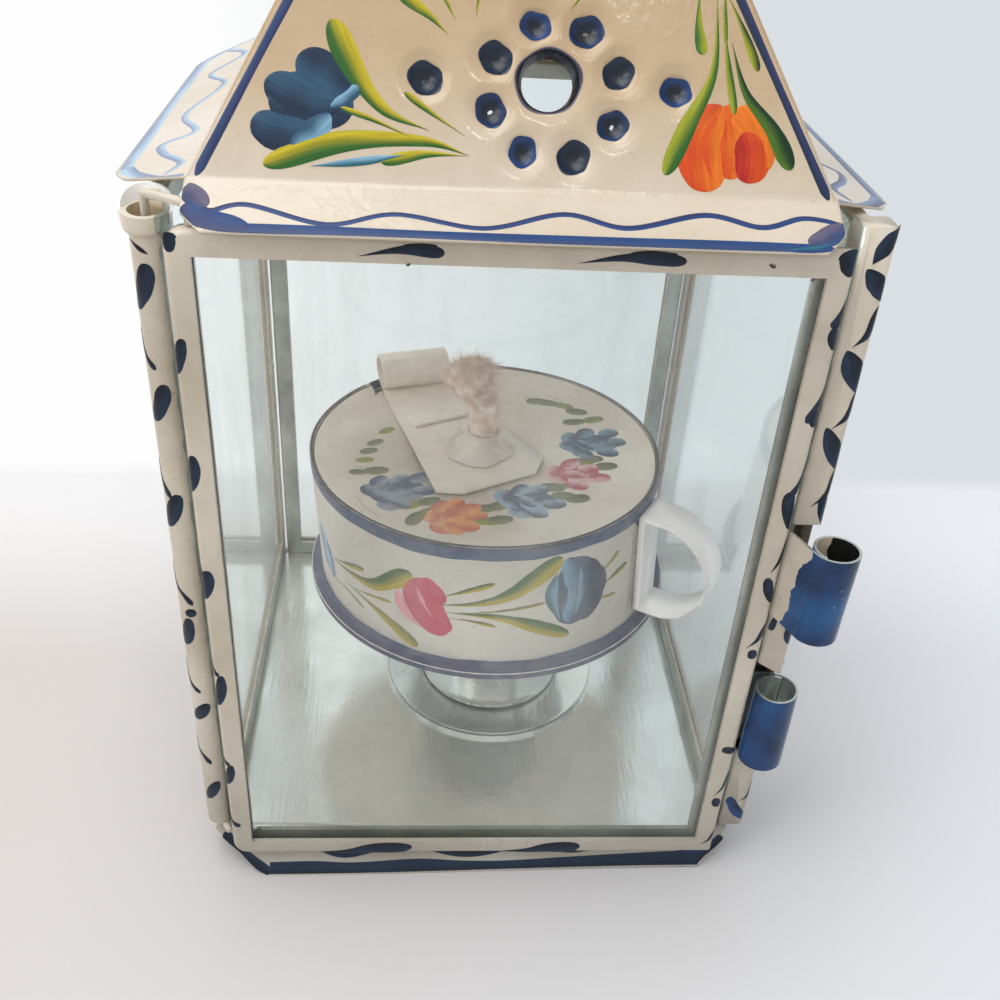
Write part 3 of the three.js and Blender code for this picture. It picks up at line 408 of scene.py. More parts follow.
# Burner: paler enamel, dusty on top and near white on the handle, partly as painted light, and solder gone
# chalky
DRUM_CREAM = one_layer("pale_cream_enamel", enamel_layer, "#CBC7BD", "#BCB7AA", "#8E8674", 0.35, 0.7)
BURNER_CREAM = one_layer("dusty_cream_enamel", enamel_layer, "#F2ECDF", "#E0D7C7", "#A3967F", 0.3, 0.75)
HANDLE_PAINTED_LIGHT_CREAM = one_layer("painted_light_white_enamel", enamel_layer, "#FAFAF8", "#F0EFEC", "#C4BFB2", 0.3, 0.5)
SOLDER = one_layer("whitened_solder", enamel_layer, "#F0EBE2", "#C4BAAB", "#8C806F", 0.45, 0.9)

# Dark enamel in the notches behind the latches, a painted shade; yellowed tin inside the hinge tube
NOTCH_PAINTED_SHADE = one_layer("notch_painted_shade_enamel", enamel_layer, "#5F5648", "#3F392F", "#26221C", 0.6, 0.9)
DIRTY = one_layer("dirty_tin_inside", enamel_layer, "#CBB99C", "#A89478", "#6A5A45", 0.5, 0.9)

# Tinplate: bright on the socket and inside the lower latch, dull on wire, hazed on the dish
TIN = one_layer("bare_tinplate", tin_layer, "#C9CECA", "#A2A8A2", 0.16, 0.5, 0.8)
DULL_TIN = one_layer("dull_tinplate", tin_layer, "#A9ADA8", "#7D817B", 0.3)
HAZED_TIN = one_layer("hazed_tinplate", tin_layer, "#F0F2EF", "#DCDFDB", 0.12, 0.3, 0.85)

# Glass: the body's panes a little greener than the door's
DOOR_GLASS = window_glass("clear_door_glass", "#FCFDFB")
GLASS = window_glass("clear_window_glass", "#F4FAFA")

# Painting: glossy brushwork, dusty on the burner, and thick wet-looking pools in the dimples
BRUSH = brushed_paint("brushed_enamel", 0.28)
DUSTY_BRUSH = brushed_paint("dusty_brushed_enamel", 0.45, 0.3, 0.24)
POOLED = brushed_paint("pooled_enamel", 0.12, 0.4)

# Blue enamel of the cap and the latches, and the raw cotton of the wick
BLUE = one_layer("deep_blue_enamel", enamel_layer, "#1C3B64", "#16263F", "#0F1C2C", 0.2, 0.6, 0.3)
LATCH = latch_paint("chipped_blue_enamel")
LATCH_INSIDE = inside_roll("painted_roll_inside", 0.0738)
COTTON = cotton("raw_cotton")


# Mesh helpers

def link(name, mesh, body, slot, *paints):
    """Puts a finished mesh into the scene as a piece that rides on its body."""
    piece = new_object(name, mesh)
    mesh.materials.clear()
    for paint in paints:
        mesh.materials.append(paint)
    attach(piece, body)
    return piece


def sheets(name, grids, colours=None, brush=None, sharp=None):
    """One smooth mesh of several grids of points, each n by m, or a stack of such grids, joined
    into quads row by row. colours gives each point's paint, brush its place along and across the
    stroke in mm, and sharp the angle in degrees past which an edge stays sharp."""
    points, faces, start = [], [], 0
    for grid in grids:
        n, m = grid.shape[-3:-1]
        many = grid.reshape(-1, 3)
        first = start + np.arange(len(many) // (n * m))[:, None, None] * n * m
        corner = first + np.arange(n - 1)[:, None] * m + np.arange(m - 1)
        faces.append(np.stack([corner, corner + 1, corner + m + 1, corner + m], -1).reshape(-1, 4))
        points.append(many)
        start += len(many)
    points = np.concatenate(points) * MM
    faces = np.concatenate(faces)
    mesh = bpy.data.meshes.new(name)
    mesh.vertices.add(len(points))
    mesh.vertices.foreach_set("co", points.astype(np.float32).ravel())
    mesh.loops.add(faces.size)
    mesh.loops.foreach_set("vertex_index", faces.astype(np.int32).ravel())
    mesh.polygons.add(len(faces))
    mesh.polygons.foreach_set("loop_start", np.arange(0, faces.size, 4, dtype=np.int32))
    mesh.polygons.foreach_set("use_smooth", np.full(len(faces), True))
    mesh.update(calc_edges=True)
    if colours is not None:
        layer = mesh.color_attributes.new("paint", "FLOAT_COLOR", "POINT")
        flat = np.concatenate([c.reshape(-1, 3) for c in colours])
        flat = np.column_stack([flat, np.ones(len(flat))]).astype(np.float32)
        layer.data.foreach_set("color", flat.ravel())
    if brush is not None:
        layer = mesh.uv_layers.new(name="brush")
        flat = np.concatenate([b.reshape(-1, 2) for b in brush])[faces.ravel()].astype(np.float32)
        layer.data.foreach_set("uv", flat.ravel())
    mesh.validate()
    weld(mesh)
    if sharp:
        mesh.set_sharp_from_angle(angle=math.radians(sharp))
    return mesh


TOUCHING = 2e-6                              # metres: points nearer than this are one


def weld(mesh, cuts=()):
    """Joins points that lie on each other, so that seams and poles close, and cuts the mesh
    across by planes, each a point and a normal."""
    work = bmesh.new()
    work.from_mesh(mesh)
    bmesh.ops.remove_doubles(work, verts=work.verts, dist=TOUCHING)
    bmesh.ops.dissolve_degenerate(work, edges=work.edges, dist=TOUCHING)
    for spot, normal in cuts:
        everything = [*work.verts, *work.edges, *work.faces]
        bmesh.ops.bisect_plane(work, geom=everything, plane_co=spot, plane_no=normal)
    work.to_mesh(mesh)
    work.free()


def smooth_copy(node, body, slot, *paints, angle=34, shape=None, second=None, cuts=()):
    """A merged copy of a CAD node, shaded smooth over bends flatter than the angle. cuts are
    planes that give it more points, shape moves its points, and second picks the faces that
    take the second paint. It takes the node's place."""
    mesh = frame["nodes"][node].data.copy()
    weld(mesh, cuts)
    if shape:
        points = np.empty(len(mesh.vertices) * 3, np.float32)
        mesh.vertices.foreach_get("co", points)
        points = shape(points.reshape(-1, 3).astype(float) / MM) * MM
        mesh.vertices.foreach_set("co", points.astype(np.float32).ravel())
        mesh.update()
    mesh.polygons.foreach_set("use_smooth", np.full(len(mesh.polygons), True))
    mesh.set_sharp_from_angle(angle=math.radians(angle))
    piece = link(node + "_metal", mesh, body, slot, *paints)
    picked = np.zeros(len(mesh.polygons), np.int32)
    if second:
        middles, normals = np.empty((2, len(mesh.polygons) * 3), np.float32)
        mesh.polygons.foreach_get("center", middles)
        mesh.polygons.foreach_get("normal", normals)
        picked[:] = second(middles.reshape(-1, 3) / MM, normals.reshape(-1, 3))
    mesh.polygons.foreach_set("material_index", picked)
    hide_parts(node)


def eased(share):
    """0 to 1 with a soft start and end."""
    share = np.clip(share, 0, 1)
    return share * share * (3 - 2 * share)


def mixed(start, end, share):
    """From start to end by this share."""
    return start + (end - start) * share


# Places on the lantern: each takes (a, b, height) in millimetres to a point in space

def quarter(vector, turns):
    """A vector, or arrays of its three parts, turned about Z by quarter turns."""
    c, s = round(math.cos(turns * math.pi / 2)), round(math.sin(turns * math.pi / 2))
    x, y, z = vector
    return np.array([c * x - s * y, s * x + c * y, z + 0 * x])


def flat_place(origin, along, up, turns=0):
    """A flat face: a runs along it, b up it, and height stands out of it."""
    along, up = np.array(along, float), np.array(up, float)
    out = quarter(np.cross(along, up), turns)
    origin = quarter(origin, turns) + MIDDLE
    along, up = quarter(along, turns), quarter(up, turns)

    def put(a, b, h):
        return origin + a[..., None] * along + b[..., None] * up + h[..., None] * out
    return put


def round_place(x, y, radius, lean=0.0):
    """A round wall: a is the arc from the front, b the height above ground. Its axis stands at
    x, y on the floor and leans to the left as it rises."""
    def put(a, b, h):
        angle = a / radius - math.pi / 2
        r = radius + h
        middle = x + MIDDLE[0] - lean * (b - FLOOR_Z)
        return np.stack([middle + r * np.cos(angle), y + MIDDLE[1] + r * np.sin(angle), b + 0 * a], -1)
    return put


def wrapped_place(front, flat_to, radius):
    """A face that looks to the front as far as flat_to on either side, then rolls back round a
    fold of this radius. a runs across the sheet, b is the height."""
    def put(a, b, h):
        turn = np.clip(np.abs(a) - flat_to, 0, radius * math.pi / 2) / radius
        back = np.clip(np.abs(a) - flat_to - radius * math.pi / 2, 0, None)
        x = np.sign(a) * (np.minimum(np.abs(a), flat_to) + (radius + h) * np.sin(turn))
        y = front + radius - (radius + h) * np.cos(turn) + back
        return np.stack([x + MIDDLE[0], y + MIDDLE[1], b + 0 * a], -1)
    return put


def bent_place(away, out, turns=0):
    """A roof panel's outer face: b up the steep part, or below the crease down the eave, with
    the bend between them eased over 1.2 mm either way."""
    step = 0.02
    ways = np.linspace(-24, 100, 6201)
    tilts = mixed(math.atan2(EAVE_DROP, out), STEEP, eased((ways + 1.2) / 2.4))
    ys, zs = np.cumsum(np.cos(tilts)) * step, np.cumsum(np.sin(tilts)) * step
    ys, zs = ys - np.interp(0, ways, ys), zs - np.interp(0, ways, zs)

    def put(a, b, h):
        tilt = np.interp(b, ways, tilts)
        lift = SHEET / 2 + h
        y = -away + np.interp(b, ways, ys) - np.sin(tilt) * lift
        z = CREASE_Z + np.interp(b, ways, zs) + np.cos(tilt) * lift
        return np.moveaxis(quarter((a, y, z), turns), 0, -1) + MIDDLE
    return put


def flap_pull(x, z):
    """How far the front flap is bent in and up: a share from 0 at the crease or the left end to
    1 on the ground at the right end."""
    return eased((x + 55) / 118) * np.clip((FLAP_TOP - z) / FLAP_TOP, 0, 1)


def pulled(points, pull):
    """Points of the front flap, bent in 2 mm and up 0.6 mm by this share."""
    points[..., 1] += 2.0 * pull
    points[..., 2] += 0.6 * pull
    return points


def flap_place():
    """The tray's front flap: a runs along it, and b is 0 at its crease and falls to its foot."""
    slant = math.hypot(TRAY_OUT, FLAP_DROP)
    start = TRAY_FRONT + SHEET * TRAY_OUT / FLAP_DROP
    plain = flat_place((0, start, FLAP_TOP), (1, 0, 0), (0, TRAY_OUT / slant, FLAP_DROP / slant))

    def put(a, b, h):
        spot = plain(a, b, h + SHEET / 2)
        return pulled(spot, flap_pull(a, spot[..., 2]))
    return put


def burner_axis(z):
    """X of the burner's leaning axis at this height."""
    return BURNER_X - LEAN * (z - FLOOR_Z)


def lid_place(a, b, h):
    """The burner's lid, with a and b from its middle."""
    return np.stack([a + burner_axis(LID_Z), b + BURNER_Y, LID_Z + h], -1) + MIDDLE


# Brush strokes

PAINTS = {
    "navy": "#1D2C40", "ink": "#131A25", "blue": "#1F3E70", "mid": "#2B4A62", "sky": "#6F97AE",
    "dusk": "#2F4268", "violet": "#2C3359", "plum": "#5A5468", "green": "#2A5A22", "deep": "#0F2F1B",
    "leaf": "#45661F", "gold": "#AD9C1C", "lime": "#8C9224", "red": "#A3231A", "fire": "#C04416",
    "orange": "#D06A1A", "teal": "#27606A", "pink": "#BE465D", "rose": "#DB98A4", "olive": "#7A8052",
    "moss": "#566140", "steel": "#66789A", "coral": "#C4634B", "apricot": "#E09B60", "cream": "#C6BDAD",
    "bare": "#9AA09C", "ice": "#98B2C6", "grime": "#857A66", "slate": "#2E4668", "denim": "#182F55",
    "haze": "#8B99A8", "blush": "#EBC0C6",
}


def paint_of(name):
    """A paint's linear colour."""
    return np.array(linear(PAINTS[name])[:3])


def curve(points, count):
    """A smooth curve through the points: each stretch is the cubic that keeps the slope from
    the point before to the point after."""
    p = np.asarray(points, float)
    q = np.vstack([2 * p[0] - p[1], p, 2 * p[-1] - p[-2]])
    t = np.linspace(0, len(p) - 1, count)
    i = np.minimum(t.astype(int), len(p) - 2)
    f = (t - i)[:, None]
    a, b, c, d = q[i], q[i + 1], q[i + 2], q[i + 3]
    return 0.5 * (2 * b + (c - a) * f + (2 * a - 5 * b + 4 * c - d) * f ** 2
                  + (3 * b - a - 3 * c + d) * f ** 3)


def belly(kind, t):
    """How wide a stroke is along its way, from 0 to 1: a drop starts at a point and ends round,
    a seed is pointed and round-shouldered, a leaf pointed at both ends, an egg round at both, a
    petal rounder still, a stem thin at its far end, and a line keeps its width."""
    if kind == "drop":
        return np.clip(t, 0, 1) ** 1.15 * np.sqrt(np.clip(1 - t ** 7, 0, 1)) * 1.12
    if kind == "seed":
        return np.clip(np.sin(np.pi * t ** 1.2), 0, 1) ** 0.7 * 0.82
    if kind == "leaf":
        return np.clip(np.sin(np.pi * t ** 0.85), 0, 1) ** 1.15
    if kind == "egg":
        return np.sqrt(np.clip(1 - (2 * t - 1) ** 2, 0, 1)) ** 0.8
    if kind == "petal":
        return np.clip(1 - np.abs(2 * t - 1) ** 2.7, 0, 1) ** 0.5 * (0.85 + 0.15 * t)
    if kind == "stem":
        return np.clip(t / 0.12, 0, 1) ** 0.5 * (1 - 0.75 * t) * np.clip((1 - t) / 0.05, 0, 1) ** 0.5
    ends = np.minimum(np.clip(t / 0.03, 0, 1), np.clip((1 - t) / 0.03, 0, 1)) ** 0.5
    return ends * (0.9 + 0.1 * np.sin(9 * t + 1.3))


CROWN, SUNK = 0.075, 0.035                   # a stroke's middle over its edges, which are sunk


def stroke(place, kind, width, left, right, *points, lift=0.0):
    """One brush stroke: the curve carried with its width, crowned like thick paint, with its
    edges sunk just under the surface. The brush holds one colour on its left and one on its
    right, and they run together in the middle."""
    length = np.sum(np.linalg.norm(np.diff(np.asarray(points, float), axis=0), axis=1))
    count = int(np.clip(length / 0.6, 22, 150))
    t = 0.5 - 0.5 * np.cos(np.pi * np.linspace(0, 1, count))
    fine = curve(points, 300)
    way = np.stack([np.interp(t, np.linspace(0, 1, len(fine)), fine[:, k]) for k in (0, 1)], 1)
    slope = np.gradient(way, axis=0)
    slope /= np.linalg.norm(slope, axis=1, keepdims=True) + 1e-9
    side = np.stack([-slope[:, 1], slope[:, 0]], 1)
    shake = 1 + 0.04 * np.interp(t, np.linspace(0, 1, 7), rng.normal(size=7))
    half = 0.5 * width * belly(kind, t) * shake
    across = np.linspace(1, -1, 9)
    spot = way[:, None, :] + side[:, None, :] * (half[:, None] * across[None, :])[..., None]
    height = lift + CROWN * (1 - across ** 4)[None, :] - SUNK + 0 * half[:, None]
    grid = place(spot[..., 0], spot[..., 1], height)
    share = eased(0.5 + 0.75 * across[None, :] + 0.12 * np.sin(11 * t + width)[:, None])
    colour = mixed(paint_of(right), paint_of(left), share[..., None])
    uv = np.stack([np.broadcast_to((t * length)[:, None], height.shape) + 7 * width,
                   half[:, None] * across[None, :] + 3 * width + points[0][0]], -1)
    return grid, colour, uv


def painting(name, body, slot, marks, paint=BRUSH):
    """Joins strokes into one painted piece."""
    grids, colours, uvs = zip(*marks)
    link(name, sheets(name, grids, colours, uvs), body, slot, paint)


def band(place, a, low, high):
    """A coat of navy along a, between two edges in b, running to ink at its low edge."""
    share = np.linspace(0, 1, 7)[None, :]
    b = mixed(high[:, None], low[:, None], share)
    along = np.broadcast_to(a[:, None], b.shape)
    colour = mixed(paint_of("navy"), paint_of("ink"), (share ** 2)[..., None])
    colour = np.broadcast_to(colour, (*b.shape, 3))
    return place(along, b, np.full(b.shape, 0.03)), colour, np.stack([along, b], -1)


# Roof: each panel is one bent sheet with its rosette driven in, and its painting

def rosette():
    """The dimples: a ring round a point a little below the vent, and one more each side."""
    angle = np.radians(18 + 45 * np.arange(8))
    ring = np.stack([1.2 + DIMPLE_RING * np.cos(angle), -1.8 + DIMPLE_RING * np.sin(angle)], 1)
    return np.vstack([ring, [[23.7, -0.8], [-22.5, -0.4]]]) + [VENT_A, VENT_B]


SPOTS = rosette()
VENT_RIM, TORN_R = 1.1, 0.7                  # how wide the vent's rolled rim is, and a pit's torn hole


def crater(a, b):
    """How far the sheet is driven in: half a millimetre at the edge of a dimple, dying away over
    2 mm outside it, and a round-bottomed pit inside it. The vent's rim is rolled in."""
    depth = np.zeros(np.broadcast(a, b).shape)
    for x, y in SPOTS:
        r = np.hypot(a - x, b - y)
        skirt = 0.5 * np.exp(-np.clip(r - DIMPLE_R, 0, None) ** 2 / 2.2)
        depth = np.maximum(depth, skirt + 1.6 * np.clip(1 - (r / DIMPLE_R) ** 2, 0, 1) ** 0.9)
    r = np.hypot(a - VENT_A, b - VENT_B)
    skirt = 0.35 * np.exp(-np.clip(r - VENT_R, 0, None) ** 2 / 1.6)
    return np.maximum(depth, skirt + 2.3 * np.clip((VENT_R - r) / VENT_RIM, 0, 1.3) ** 2)


def eave_reach(outwards, ends):
    """Half the eave's width at this distance out from the crease."""
    widths, distances = zip(*ends)
    return np.interp(outwards, distances, widths)


def roof_panel(node, away, half, out, turns, ends):
    """A bent sheet: rows run up it from the eave's edge to the top, columns from hip to hip.
    Quads inside the torn holes are left out, and the sheet is given its thickness."""
    run = ROOF_RISE / math.tan(STEEP)
    slant_out, slant_up = math.hypot(out, EAVE_DROP), math.hypot(run, ROOF_RISE)
    # close together over the crease's bend and the rosette
    rows = np.concatenate([np.linspace(-slant_out, -1.3, 14), np.linspace(-1.1, 1.1, 9),
                           np.linspace(1.4, 40, 84), np.linspace(41, slant_up, 22)])
    outwards = -rows * math.cos(math.atan2(EAVE_DROP, out))
    reach = np.where(rows > 0, half - rows * math.cos(STEEP), eave_reach(outwards, ends)) - 0.15
    a = reach[:, None] * np.linspace(-1, 1, 220)[None, :]
    b = np.broadcast_to(rows[:, None], a.shape)
    place = bent_place(away, out, turns)
    mesh = sheets(node, [place(a, b, -crater(a, b))])
    middle_a, middle_b = (a[:-1, :-1] + a[1:, 1:]) / 2, (b[:-1, :-1] + b[1:, 1:]) / 2
    torn = np.hypot(middle_a - VENT_A, middle_b - VENT_B) < VENT_R - VENT_RIM
    for x, y in SPOTS:
        torn |= np.hypot(middle_a - x, middle_b - y) < TORN_R
    work = bmesh.new()
    work.from_mesh(mesh)
    work.faces.ensure_lookup_table()
    bmesh.ops.delete(work, geom=[work.faces[i] for i in np.flatnonzero(torn.ravel())], context="FACES")
    work.to_mesh(mesh)
    work.free()
    piece = link(node + "_sheet", mesh, "lantern", "roof_enamel", ROOF_CREAM)
    wall = piece.modifiers.new("sheet", "SOLIDIFY")
    wall.thickness = 0.6 * MM
    wall.offset = -1
    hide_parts(node)
    return place


def pooled_paint(place):
    """Blue paint run into each dimple and round the vent's rim: rings that follow the sheet in
    to a torn edge, dark at the bottom."""
    turn = np.linspace(0, 2 * np.pi, 49)
    s = np.linspace(0, 1, 14)[:, None]

    def pool(x, y, edge, inner, start, end, share):
        radius = mixed(edge, inner, s)
        radius[:, -1] = radius[:, 0]
        a, b = x + radius * np.cos(turn), y + radius * np.sin(turn)
        colour = mixed(start, end, share[..., None] + 0 * radius[..., None])
        return place(a, b, 0.07 - crater(a, b)), colour, np.stack([radius * 3, radius * turn], -1)

    marks = []
    for k, (x, y) in enumerate(SPOTS):
        edge = 2.95 + 0.2 * np.sin(2.3 * k) + 0.2 * np.sin(2 * turn + k) + 0.1 * np.sin(5 * turn + 2 * k)
        tear = 0.4 * (k % 3 == 1) * (1 + 0.25 * np.sin(2 * turn + 1.7 * k))
        light = mixed(paint_of("navy"), paint_of("blue"), k % 3 / 2)
        marks.append(pool(x, y, edge, tear, light, paint_of("ink"), eased(s * 1.5)))
    edge = VENT_R + 0.15 + 0.22 * np.sin(2 * turn + 0.7) + 0.16 * np.sin(5 * turn)
    inner = VENT_R - VENT_RIM - 0.15
    marks.append(pool(VENT_A, VENT_B, edge, inner, paint_of("ink"), paint_of("plum"), eased(1 - 3 * s)))
    return marks


def roof_flowers(place):
    """Two sprays of leaves and flowers either side of the vent, and leaf tips hanging from the
    top. Each mark is its kind, width, left and right paint, and the points of its way."""
    mark = partial(stroke, place)
    return [
        # blue flower on the left
        mark("petal", 12.5, "navy", "mid", (-30.4, 13.0), (-37.6, 14.6), (-45.6, 14.6), lift=0.01),
        mark("petal", 8.4, "mid", "navy", (-31.0, 15.5), (-35.2, 19.2), (-40.4, 22.4), lift=0.02),
        mark("petal", 8.0, "navy", "mid", (-33.0, 13.4), (-39.5, 15.0), (-46.2, 17.8), lift=0.04),
        mark("petal", 8.0, "navy", "mid", (-37.6, 9.2), (-43.0, 8.9), (-48.6, 10.6), lift=0.03),
        mark("petal", 5.4, "sky", "mid", (-34.6, 12.4), (-37.6, 9.2), (-41.2, 6.2), lift=0.05),
        mark("petal", 2.6, "mid", "sky", (-28.8, 18.4), (-31.0, 15.8), (-34.4, 13.6), lift=0.06),
        # leaves on the left
        mark("drop", 6.0, "green", "gold", (-16.5, 10.1), (-24.6, 13.4), (-30.4, 20.4), (-34.5, 29.0),
             lift=0.07),
        mark("drop", 1.4, "green", "gold", (-18.0, 8.0), (-25.8, 11.3), (-32.6, 13.6), lift=0.08),
        mark("drop", 5.6, "green", "gold", (-9.2, 6.0), (-17.7, 8.2), (-32.0, 7.6), (-46.4, 3.0), lift=0.08),
        mark("drop", 1.7, "green", "gold", (-10.0, 9.4), (-16.2, 13.3), (-21.2, 16.8), lift=0.05),
        mark("drop", 2.8, "green", "gold", (-9.6, 5.9), (-17.2, 5.9), (-25.2, 4.2), lift=0.05),
        mark("leaf", 1.5, "teal", "sky", (-21.0, 5.6), (-30.0, 4.0), (-38.0, 3.0), lift=0.1),
        # leaf tips at the top
        mark("drop", 3.4, "green", "gold", (-13.3, 27.1), (-17.1, 30.6), (-22.6, 34.2)),
        mark("drop", 1.2, "leaf", "gold", (-12.1, 29.8), (-13.2, 31.8), (-15.2, 35.5)),
        mark("drop", 1.3, "leaf", "gold", (-8.5, 30.5), (-8.2, 33.0), (-7.4, 37.0)),
        mark("drop", 1.3, "gold", "leaf", (8.7, 32.8), (10.2, 35.0), (12.4, 38.6)),
        # red flower on the right
        mark("petal", 11.0, "orange", "fire", (37.2, 17.0), (34.0, 9.4), (35.4, 1.2), lift=0.02),
        mark("petal", 8.0, "orange", "fire", (38.6, 17.2), (39.2, 10.4), (39.6, 3.6), lift=0.01),
        mark("petal", 9.6, "orange", "orange", (40.0, 16.6), (43.4, 11.6), (43.4, 4.2), lift=0.03),
        mark("petal", 7.4, "fire", "red", (42.0, 12.4), (43.2, 7.8), (42.8, 3.0), lift=0.06),
        mark("leaf", 4.4, "orange", "fire", (36.8, 15.6), (35.4, 9.0), (36.6, 2.6), lift=0.05),
        # leaves on the right
        mark("drop", 3.6, "lime", "green", (32.4, 37.5), (32.5, 31.0), (33.4, 25.9)),
        mark("drop", 4.6, "green", "lime", (35.7, 37.5), (35.6, 23.2), (31.2, 13.3), (27.1, 4.0), lift=0.08),
        mark("drop", 2.0, "green", "lime", (37.2, 31.3), (38.2, 24.5), (39.8, 15.4), lift=0.09),
        mark("drop", 4.6, "deep", "leaf", (38.7, 28.5), (41.7, 19.5), (47.3, 12.4), (50.9, 5.8), lift=0.08),
        mark("drop", 2.8, "deep", "lime", (37.4, 37.2), (41.2, 30.0), (43.9, 23.4)),
        mark("drop", 1.4, "green", "lime", (37.0, 41.0), (37.2, 35.0), (37.6, 28.0)),
    ]


def eave_place(place, out, ends):
    """A roof panel's face, with every stroke kept inside the eave's edge and its trimmed corners."""
    slant = math.hypot(out, EAVE_DROP)

    def put(a, b, h):
        b = np.maximum(b, 0.1 - slant)
        reach = eave_reach(-b * out / slant, ends) - 0.25
        return place(np.clip(a, -reach, reach), b, h)
    return put


def front_eave_lines(place):
    """The front eave: a blue border along its edge, run up at both ends, and a thin wavy line."""
    edge = -math.hypot(FRONT_OUT, EAVE_DROP) + 1.1
    mark = partial(stroke, place)
    return [
        mark("line", 1.5, "violet", "blue", (-58.3, -4.4), (-55.3, -7.8), (-48.7, -6.1), (-34.5, -10.1),
             (-22.3, -7.1), (-6.5, -9.7), (8.1, -5.6), (19.7, -8.4), (34.3, -4.5), (44.7, -7.0),
             (52.8, -4.4), (60.0, -5.4), lift=0.01),
        mark("line", 2.9, "blue", "dusk", (-53.5, edge), (-30.0, edge + 0.2), (0.0, edge),
             (32.7, edge + 0.1), (58.0, edge + 0.2)),
        mark("egg", 5.2, "blue", "violet", (-59.4, -6.2), (-56.4, -9.4), (-48.0, edge + 0.3), lift=0.03),
        mark("egg", 5.0, "plum", "violet", (-60.4, -3.0), (-58.8, -3.8), (-55.8, -7.0), lift=0.02),
        mark("egg", 4.6, "plum", "dusk", (53.0, edge + 1.0), (57.0, -8.6), (60.2, -5.4), lift=0.03),
        mark("leaf", 1.8, "teal", "blue", (48.0, edge - 0.6), (54.0, -11.8), (58.6, -10.0), lift=0.04),
    ]


def side_eave_lines(place, flip):
    """A side eave in paler blues than the front's, paler still on the left, a painted light: a border
    down its edge and round its corner, and a wave with loops.
    """
    def line(width, left, right, *points, lift=0.0):
        return stroke(place, "line", width, left, right, *[(flip * a, b) for a, b in points], lift=lift)
    # painted light: the left eave takes the palest blues, where light washes the paint out
    light, dark = ("ice", "steel") if flip < 0 else ("steel", "dusk")
    return [
        line(3.8, light, dark, (46.0, -16.6), (7.3, -16.8), (-20.0, -16.7), (-45.6, -16.4)),
        line(3.6, dark, light, (-44.0, -16.6), (-50.4, -13.0), (-58.6, -7.0), (-61.6, -1.0), lift=0.02),
        line(2.2, light, dark, (54.0, -12.0), (41.0, -4.4), (26.0, -11.0), (10.0, -4.9), (-11.4, -10.4),
             (-29.2, -4.6), (-33.0, -10.9), (-41.0, -9.0), (-51.6, -3.3), (-57.0, -5.5), lift=0.01),
        line(3.6, dark, light, (44.0, -16.6), (49.4, -13.6), (57.6, -7.6), (61.2, -1.0), lift=0.02),
    ]


# The eaves' trimmed ends: half the width at a distance out from the crease
FRONT_ENDS = [(60.5, 0.0), (60.5, FRONT_OUT - 4.0), (56.5, FRONT_OUT)]
SIDE_ENDS = [(63.0, 0.0), (51.0, SIDE_OUT - 3.0), (45.0, SIDE_OUT)]


def build_roof():
    """Four panels, each with its painting, its pooled paint and a line up either hip. A row is
    the node, its crease's distance and half width, the eave, quarter turns, and trimmed ends."""
    sides = [
        ("roof_front", CREASE_Y, CREASE_X, FRONT_OUT, 0, FRONT_ENDS),
        ("roof_right", CREASE_X, CREASE_Y, SIDE_OUT, 1, SIDE_ENDS),
        ("roof_back", CREASE_Y, CREASE_X, FRONT_OUT, 2, FRONT_ENDS),
        ("roof_left", CREASE_X, CREASE_Y, SIDE_OUT, -1, SIDE_ENDS),
    ]
    up = math.hypot(ROOF_RISE, ROOF_RISE / math.tan(STEEP))
    for node, away, half, out, turns, ends in sides:
        place = roof_panel(node, away, half, out, turns, ends)
        eave = eave_place(place, out, ends)
        marks = roof_flowers(place)
        marks += front_eave_lines(eave) if turns % 2 == 0 else side_eave_lines(eave, turns)
        for side, hue in ((-1, "dusk"), (1, "navy")):
            ways = [(side * (half - 1.4 - 0.2 * i - b * math.cos(STEEP)), b)
                    for i, b in enumerate((0.4, 12, 24, 36, 60, up - 2))]
            marks.append(stroke(place, "line", 2.2, hue, "violet", *ways))
        painting(node + "_painting", "lantern", "blue_enamel", marks)
        painting(node + "_pooled_paint", "lantern", "blue_enamel", pooled_paint(place), POOLED)


build_roof()


# Glazed frames: folded channels, mitred, smooth at their corners

CORNERS = ((-1, 0, 225), (1, 0, 315), (1, 1, 45), (-1, 1, 135))     # side, head or foot, bearing
# The radius of each corner of a panel's outline
ROUNDS = {"door": (4.0, 0.8, 0.8, 4.0), "body": (0.8, 0.8, 0.8, 0.8)}
LIP = 0.55                                   # thickness of the sheet where its edge shows
FLANGE, LONG_FLANGE = 5.0, 6.9               # the longer one shows behind the door's glass


def channel_section(back):
    """The folded channel as (depth from the frame's outline, place through the frame): down the
    front flange, round the web, up the back flange, which is this long, and back along its
    inside. The flanges' edges are turned in, against the glass."""
    half, bend = 2.4, np.linspace(0, math.pi / 2, 7)

    def skin(off, edge):
        r = FOLD - off
        front = np.stack([FOLD - r * np.sin(bend), -(half - FOLD) - r * np.cos(bend)], 1)
        return np.vstack([[[FLANGE, -edge]], front, (front * [1, -1])[::-1], [[back, edge]]])
    outer, inner = skin(0.0, half), skin(LIP, 1.25)
    return np.vstack([outer, inner[::-1], outer[:1]])


